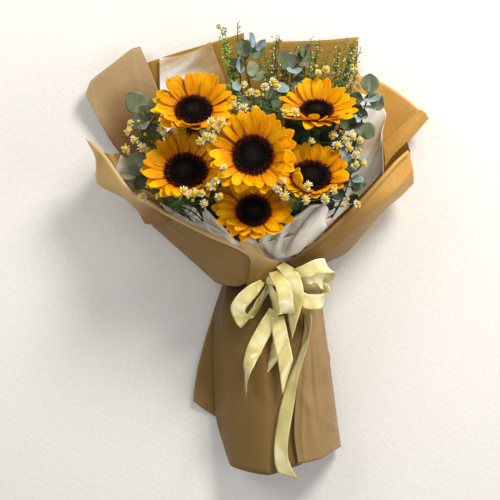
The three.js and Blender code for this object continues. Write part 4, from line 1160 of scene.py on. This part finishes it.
# Folds and turned edges with no solid of their own: finish and rows of points.
LAID_FOLDS = {
    "kraft_right_turned_edge": (KRAFT_PAINTED_LIT_GOLD, """
        187 162 30, 190 144 36, 191 126 28;
        215 188 36, 219 176 42, 224 162 34;
        243 213 37, 249 209 42, 256 200 36
    """),
    # a dark strip along the right flap's rim, put where the rim and the turned edge cast shadow: painted shadow
    "kraft_right_turned_in": (KRAFT_SHADED, """
        92 30 103, 97 26 106;
        129 63 104, 135 58 108;
        177 112 92, 186 104 96;
        197 140 84, 205 124 86;
        219 162 78, 223 146 82
    """),
    "kraft_centre_cone": (KRAFT_PAINTED_LIT_CREAM, """
        -29 14 114, -15 18 121, 1 15 116;
        -16 1 114, -1 1 121, 14 -6 113;
        -9 -14 110, 9 -15 115, 32 -15 106;
        -15 -47 99, -2 -44 103, 11 -41 100
    """),
    "liner_front_curl": (LINER_FOLDED_PAINTED_SHADE, """
        -49 16 112, -41 14 117, -29 11 118, -21 9 113;
        -65 26 114, -57 29 108, -45 32 120, -36 24 118;
        -75 44 118, -67 47 110, -58 46 124, -49 38 120;
        -78 58 121, -73 61 118, -67 57 127, -62 51 122
    """),
    "liner_front_lump": (LINER_FOLDED_PAINTED_SHADE, """
        -25 12 112, -18 8 116, -8 5 116, 1 1 110;
        -22 19 114, -16 19 121, -8 18 122, 1 12 114;
        -22 25 115, -16 28 110, -9 24 118, -1 19 116
    """),
    "liner_front_fold": (LINER_FOLDED_PAINTED_SHADE, """
        4 12 102, 9 4 100, 17 -5 99, 27 -9 99, 37 -9 99, 47 -6 101, 57 -1 104, 68 8 108;
        2 15 112, 9 14 119, 19 9 112, 29 9 121, 41 14 113, 53 19 121, 66 23 121, 79 29 117;
        2 18 115, 11 19 124, 22 19 116, 33 22 127, 46 31 122, 59 38 128, 74 48 130, 90 55 125;
        4 21 116, 12 25 126, 24 26 117, 35 31 128, 48 45 123, 62 55 131, 80 67 133, 100 70 128
    """),
    "liner_front_roll": (LINER_FOLDED_PAINTED_SHADE, """
        40 -6 108, 46 -5 114, 53 -3 116, 60 0 115, 64 3 110;
        44 8 118, 51 12 128, 61 13 130, 70 14 126, 76 15 118;
        54 26 122, 60 31 134, 71 31 136, 82 29 131, 89 28 122;
        66 42 124, 72 47 136, 82 45 138, 93 40 133, 99 37 124;
        78 56 126, 82 59 136, 88 57 139, 95 52 134, 98 48 126;
        87 62 128, 89 66 136, 94 67 138, 99 65 135, 101 61 129
    """),
    "liner_front_right_fold": (LINER_FOLDED_PAINTED_SHADE, """
        71 9 110, 79 15 112, 88 19 108;
        82 26 114, 90 33 120, 101 35 112;
        92 44 118, 100 49 125, 114 49 115
    """),
    "liner_left_edge": (LINER, """
        -189 92 66, -180 89 68, -170 92 66;
        -205 115 90, -190 111 84, -175 110 76;
        -197 142 84, -192 139 80, -187 135 74
    """),
    "liner_inside_rim": (LINER_FOLDED_PAINTED_SHADE, """
        -124 51 106, -103 39 108, -74 27 110, -49 15 112;
        -141 73 98, -116 58 100, -93 45 104, -70 35 108
    """),
}
# Rims rolled outward into a round hem: finish, radius, which side is outward, and points along the rim.
ROLLED_RIMS = {
    "kraft_left_rim": (KRAFT_RIM_PAINTED_HIGHLIGHT, 3.4, 1, """
        -128 54 107, -152 70 112, -176 82 114, -198 108 113, -218 137 110, -240 159 103
    """),
    "kraft_front_left_rim": (KRAFT_RIM_PAINTED_HIGHLIGHT, 3.2, 1, """
        14 -20 104, -24 6 110, -70 26 114, -129 55 112
    """),
    "liner_front_rim": (LINER_FOLDED_PAINTED_SHADE, 2.9, -1, """
        5 21 122, 16 26 124, 35 32 130, 48 45 128, 62 54 133, 78 66 134, 94 66 130
    """),
    "kraft_right_rim": (KRAFT_PAINTED_LIT_HONEY, 3.2, -1, """
        62 0 108, 78 9 110, 134 58 118, 182 109 110, 202 131 103, 219 146 92
    """),
}
# Thickness in millimetres. The liner is drawn a little thicker than it is.
KRAFT_THICK, LINER_THICK = 0.3, 0.35


def laid_grid(rows, across, along, lift, sharp):
    """A grid over rows of points in millimetres, and its cut size. lift moves it along its normal, in millimetres."""
    mesh, places = grid_of(across, along)
    columns = [[row[c] for row in rows] for c in range(len(rows[0]))]
    spans = [[point_between(column, j / along) for column in columns] for j in range(along + 1)]
    net = {(round(u * across), round(v * along)): vert for vert, (u, v) in places.items()}
    for (_, j), vert in net.items():
        t = places[vert][0] * (len(columns) - 1)
        k = min(int(t), len(columns) - 2)
        straight = spans[j][k].lerp(spans[j][k + 1], t - k)
        vert.co = point_between(spans[j], places[vert][0]).lerp(straight, sharp) * MM
    mesh.normal_update()
    normals = {vert: vert.normal.copy() for vert in mesh.verts}
    for vert, (u, v) in places.items():
        vert.co += normals[vert] * lift(u, v, vert.co) * MM
    width = max(
        sum((net[i, j].co - net[i + 1, j].co).length for i in range(across)) for j in range(along + 1)
    )
    columns = [sum((net[i, j].co - net[i, j + 1].co).length for j in range(along)) for i in range(across + 1)]
    return mesh, (width, sum(columns) / len(columns), sum(face.calc_area() for face in mesh.faces))


def crumple(seed, height, folds, creases):
    """Paper relief: a slow wave, a few sharp folds that cross the sheet and fade out, and the creases asked for."""
    dice = random.Random(seed)
    lines = []
    for _ in range(folds):
        turn = dice.uniform(0, math.pi)
        lines.append((
            dice.uniform(0.1, 0.9), dice.uniform(0.15, 0.95), math.cos(turn), math.sin(turn),
            dice.uniform(0.03, 0.07), dice.uniform(-1, 1) * height, dice.uniform(0.15, 0.4),
        ))
    for u0, v0, u1, v1, tall, width in creases:
        way = Vector((u1 - u0, v1 - v0))
        reach, way = way.length / 2, way.normalized()
        lines.append(((u0 + u1) / 2, (v0 + v1) / 2, way.x, way.y, width, tall, reach * 1.25))

    def lift(u, v, place):
        wave = noise.noise(place * 16 + Vector((seed, 0, 0))) * height * (0.35 + 0.65 * v)
        for cu, cv, dx, dy, width, tall, reach in lines:
            off = abs((u - cu) * dy - (v - cv) * dx)
            run = abs((u - cu) * dx + (v - cv) * dy)
            ridge = max(0, 1 - off / width)
            wave += tall * (0.6 * ridge + 0.4 * ridge * ridge) * min(1, 2.5 * max(0, 1 - run / reach))
        return wave

    return lift


def rolled_rim(points, radius, side):
    """Rows of points for a round hem along a rim, open underneath."""
    steps = 12
    path = smooth_path(points, steps)
    rows = []
    for k, middle in enumerate(path):
        way = (path[min(k + 1, steps)] - path[max(k - 1, 0)]).normalized()
        out = UP.cross(way).normalized() * side
        wide = radius * (0.75 + 0.25 * math.sin(k / steps * math.pi))
        turns = [math.radians(-15 + step * 35) for step in range(7)]
        rows.append([tuple(middle + (UP * (0.9 + math.sin(t)) - out * math.cos(t)) * wide) for t in turns])
    return rows


def finish_sheet(name, mesh, thickness, material, slot, node):
    """A sheet of paper, liner or ribbon with its thickness.
    """
    piece = make_piece(name, mesh, [material], slot, *filter(None, [node]))
    wall = piece.modifiers.new("thickness", "SOLIDIFY")
    wall.thickness, wall.offset = thickness * MM, 0


def build_papers():
    """The sheets, the folds laid on them and the rolled rims. Each has its own seed, in this order."""
    seeds = itertools.count(12)

    def build(name, label, table, steps, thickness, height, folds, finish, node=None, sharp=0):
        relief = crumple(next(seeds), height, folds, points_of(CREASES.get(name, "")))
        mesh, cut = laid_grid(table, *steps, relief, sharp)
        slot = "liner_paper" if name.startswith("liner") else "kraft_paper"
        finish_sheet(label, mesh, thickness, finish, slot, node)

    for name, (finish, sharp, table) in SHEETS.items():
        thickness, height = (LINER_THICK, 0.9) if name.startswith("liner") else (KRAFT_THICK, 0.6)
        build(name, f"{name}_sheet", rows_of(table), (56, 64), thickness, height, 7, finish, name, sharp)
    for name, (finish, table) in LAID_FOLDS.items():
        height, folds = (1.1, 4) if name.startswith("liner") else (0.4, 3)
        build(name, name, rows_of(table), (44, 44), KRAFT_THICK, height, folds, finish)
    for name, (finish, radius, side, points) in ROLLED_RIMS.items():
        rows = rolled_rim(points_of(points), radius, side)
        build(name, name, rows, (14, 60), KRAFT_THICK, 0.3, 2, finish)


# ---------------------------------------------------------------- ribbon

BAND = {"left": -54, "right": 105, "top": 92, "low": 10, "high": 40, "y": -29, "pulled_to": 16}
# CROWN is how far the ribbon's middle stands above its edges.
RIBBON_WIDTH, SATIN_THICK, CROWN = 22, 0.3, 0.7
KNOT = {"at": (24, -40, 100), "half": (11, 9.5, 8)}
# The bow: how much of its full width each ribbon has along its length, the slant of its end (above 0 the side that
# the way across points to is the longer), then the places along its middle, and the ways across that it turns through.
RIBBONS = {
    "ribbon_loop_left": ((0.45, 0.95, 1, 1, 1, 0.8, 0.5), 0, """
        8 -42 106, -6 -54 113, -20 -68 115, -27 -80 112, -23 -92 106, -16 -99 101, -3 -84 98, 8 -65 98, 14 -47 101;
        -0.7 0.7 0.2, -0.7 0.7 0.2, -0.7 0.7 0.2, -0.75 0.6 0.2, -0.9 0.25 0.3, -0.76 -0.5 0.3, -0.45 -0.25 0.86,
        -0.4 -0.2 0.88, -0.4 -0.2 0.88
    """),
    "ribbon_loop_left_low": ((0.6, 0.9, 1, 0.9, 0.9, 0.6), 0, """
        15 -48 97, 7 -63 94, -2 -80 94, -13 -97 93, -6 -92 90, 8 -70 90, 17 -50 95;
        -0.45 -0.2 0.87, -0.55 -0.25 0.8, -0.7 -0.4 0.6, -0.7 -0.4 0.6, -0.45 -0.2 0.87
    """),
    "ribbon_loop_front": ((0.6, 1, 1, 1, 0.9, 0.5), 0, """
        23 -27 110, 37 -48 120, 41 -71 119, 42 -88 109, 32 -83 102, 24 -62 98, 16 -43 100;
        1 0.05 0, 1 0.05 0, 1 0.05 0, 0.6 0 0.8, 0.6 0 0.8
    """),
    "ribbon_loop_right": ((0.5, 0.95, 1, 1, 0.9, 0.5), 0, """
        48 -31 110, 68 -27 118, 86 -20 119, 102 -20 113, 102 -31 105, 90 -39 101, 71 -41 99, 55 -37 101;
        -0.3 0.95 0.1, -0.3 0.95 0.1, -0.69 0.73 0, -0.5 0.5 0.7, -0.5 0.5 0.7
    """),
    "ribbon_loop_right_middle": ((0.5, 0.95, 1, 1, 0.9, 0.5), 0, """
        57 -39 106, 73 -37 114, 88 -36 114, 95 -42 108, 86 -51 102, 71 -50 100, 59 -43 101;
        0 0.9 0.4, 0 0.9 0.4, 0.1 0.9 0.3, 0.2 0.5 0.8, 0.1 0.5 0.8
    """),
    "ribbon_loop_right_low": ((0.5, 0.95, 1, 1, 0.9, 0.5), 0, """
        56 -49 104, 66 -67 112, 82 -71 112, 97 -67 108, 98 -55 102, 87 -47 99, 69 -44 98, 58 -43 99;
        0.2 1 0.1, 0 1 0.1, 0.4 0.85 0.3, 0.2 0.5 0.85, 0.2 0.5 0.85
    """),
    "ribbon_tail_left": ((0.7, 1, 1, 1, 1), 0.1, """
        25 -83 100, 14 -106 97, 0 -132 95, -11 -159 96, -15 -182 98, -17 -208 98;
        0.8 -0.5 0.2, 0.8 -0.45 0, 0.85 -0.4 0.1, 0.7 -0.2 0.65, 0.2 0 0.98, 0.1 0 1
    """),
    "ribbon_tail_middle": ((0.8, 1, 1, 1, 1), -0.42, """
        30 -92 101, 34 -120 100, 40 -148 99, 44 -175 98, 48 -204 96;
        1 0.1 0, 1 0.1 0
    """),
    "ribbon_tail_short": ((0.85, 1, 1, 1), -0.4, """
        35 -111 92, 29 -139 91, 21 -180 90;
        0.75 -0.25 0.6, 0.75 -0.25 0.6
    """),
    "ribbon_tail_right": ((0.6, 1, 1, 1, 1), 0.3, """
        33 -17 109, 49 -33 114, 56 -57 112, 53 -85 106, 49 -111 100, 47 -123 98;
        1 0.3 0, 1 0.3 0, 0.85 0.2 0.4, 0.5 0 0.86, 0.25 0 0.97
    """),
    "ribbon_tail_long": ((0.7, 1, 1, 1, 1, 1), 0.07, """
        67 -74 97, 74 -92 97, 75 -111 100, 67 -140 101, 53 -180 98, 46 -212 96, 40 -242 94, 35 -279 92, 37 -305 90,
        50 -334 83;
        0.85 0.3 0.4, 0.45 0.1 0.88, 0.2 0.05 0.97, 0.28 -0.1 0.95, 0.5 -0.25 0.82, 0.75 -0.2 0.6, 0.8 -0.15 0.5,
        0.8 -0.15 0.5, 0.9 0.1 0.3, 0.95 0.2 0
    """),
}
EXTRA_RIBBONS = ("ribbon_loop_right_middle", "ribbon_tail_short", "ribbon_tail_right")


def ribbon_grid(places, ways, widths, slant):
    """A ribbon laid along places, and the size that it was cut to."""
    mesh, corners = grid_of(8, 90)
    steps = 240
    path = smooth_path(places, steps)
    for vert, (u, v) in corners.items():
        s = 2 * u - 1
        v *= 1 - abs(slant) * (1 - s * (1 if slant > 0 else -1)) / 2
        k = min(int(v * steps), steps - 1)
        middle = path[k].lerp(path[k + 1], v * steps - k)
        way = path[min(k + 2, steps)] - path[max(k - 1, 0)]
        across = point_between(ways, v).normalized()
        across = (across - way * across.dot(way) / way.length_squared * 0.6).normalized()
        half = RIBBON_WIDTH / 2 * between(widths, v)
        normal = across.cross(way).normalized()
        ripple = 0.25 * math.sin(v * 40 + s * 2) + CROWN * (1 - s * s)
        vert.co = (middle + across * s * half + normal * ripple) * MM
    length = sum((b - a).length for a, b in zip(path, path[1:])) * MM
    return mesh, (RIBBON_WIDTH * MM, length, RIBBON_WIDTH * MM * length * (1 - abs(slant) / 2))


def build_ribbon():
    for name, (widths, slant, table) in RIBBONS.items():
        mesh, cut = ribbon_grid(*rows_of(table), widths, slant)
        node = None if name in EXTRA_RIBBONS else name
        finish_sheet(f"{name}_satin", mesh, SATIN_THICK, SATIN, "satin_ribbon", node)
    build_band()
    build_knot()


def band_outline():
    """The band's section, from its bottom left corner round: points in X and Z, in millimetres."""
    left, right, top, low, high = (BAND[k] for k in ("left", "right", "top", "low", "high"))
    corners = [
        (right - low, low, low, -90), (right - high, top - high, high, 0),
        (left + high, top - high, high, 90), (left + low, low, low, 180),
    ]
    outline = [(left + low, 0)]
    for x, z, radius, start in corners:
        for k in range(9):
            turn = math.radians(start + k * 90 / 8)
            outline.append((x + radius * math.cos(turn), z + radius * math.sin(turn)))
    return outline


def build_band():
    outline = band_outline()
    mesh, places = grid_of(len(outline) - 1, 8)
    for vert, (u, v) in places.items():
        x, z = outline[round(u * (len(outline) - 1))]
        middle = Vector((25, 0, 46))
        inward = (middle - Vector((x, 0, z))).normalized()
        pleat = 0.5 + 0.35 * math.sin(v * 21 + u * 9)
        vert.co = (Vector((x, BAND["y"] - v * BAND["pulled_to"], z)) + inward * pleat) * MM
    bmesh.ops.remove_doubles(mesh, verts=mesh.verts[:], dist=1e-6)
    finish_sheet(
        "ribbon_band_satin", mesh, SATIN_THICK, SATIN, "satin_ribbon", "ribbon_band"
    )


def build_knot():
    whole = new_whole()
    bmesh.ops.create_uvsphere(whole, u_segments=48, v_segments=24, radius=1, calc_uvs=True)
    for vert in whole.verts:
        turn = math.atan2(vert.co.x, vert.co.z)
        pleat = 1 + 0.045 * math.sin(vert.co.x * 9 + 2 * math.sin(turn)) - 0.05 * math.cos(vert.co.y * 6)
        vert.co *= pleat
    size = Matrix.Diagonal([h * 0.97 * MM for h in KNOT["half"]] + [1])
    put(skinned(whole, 0), Matrix.Translation(Vector(KNOT["at"]) * MM) @ size)
    make_piece("ribbon_knot_satin", whole, [SATIN], "satin_ribbon", "ribbon_knot")


# ---------------------------------------------------------------- the bunch on its table


def build_floor():
    mesh = bmesh.new()
    bmesh.ops.create_grid(mesh, x_segments=1, y_segments=1, size=4)
    data = bpy.data.meshes.new("table_top")
    mesh.to_mesh(data)
    mesh.free()
    data.materials.append(FLOOR)
    table = bpy.data.objects.new("table_top", data)
    table.location.z = -0.0006
    bpy.context.scene.collection.objects.link(table)


build_sunflowers()
build_cut_leaves()
build_eucalyptus()
build_chamomile()
build_pennycress()
build_twine()
build_papers()
build_ribbon()
build_floor()
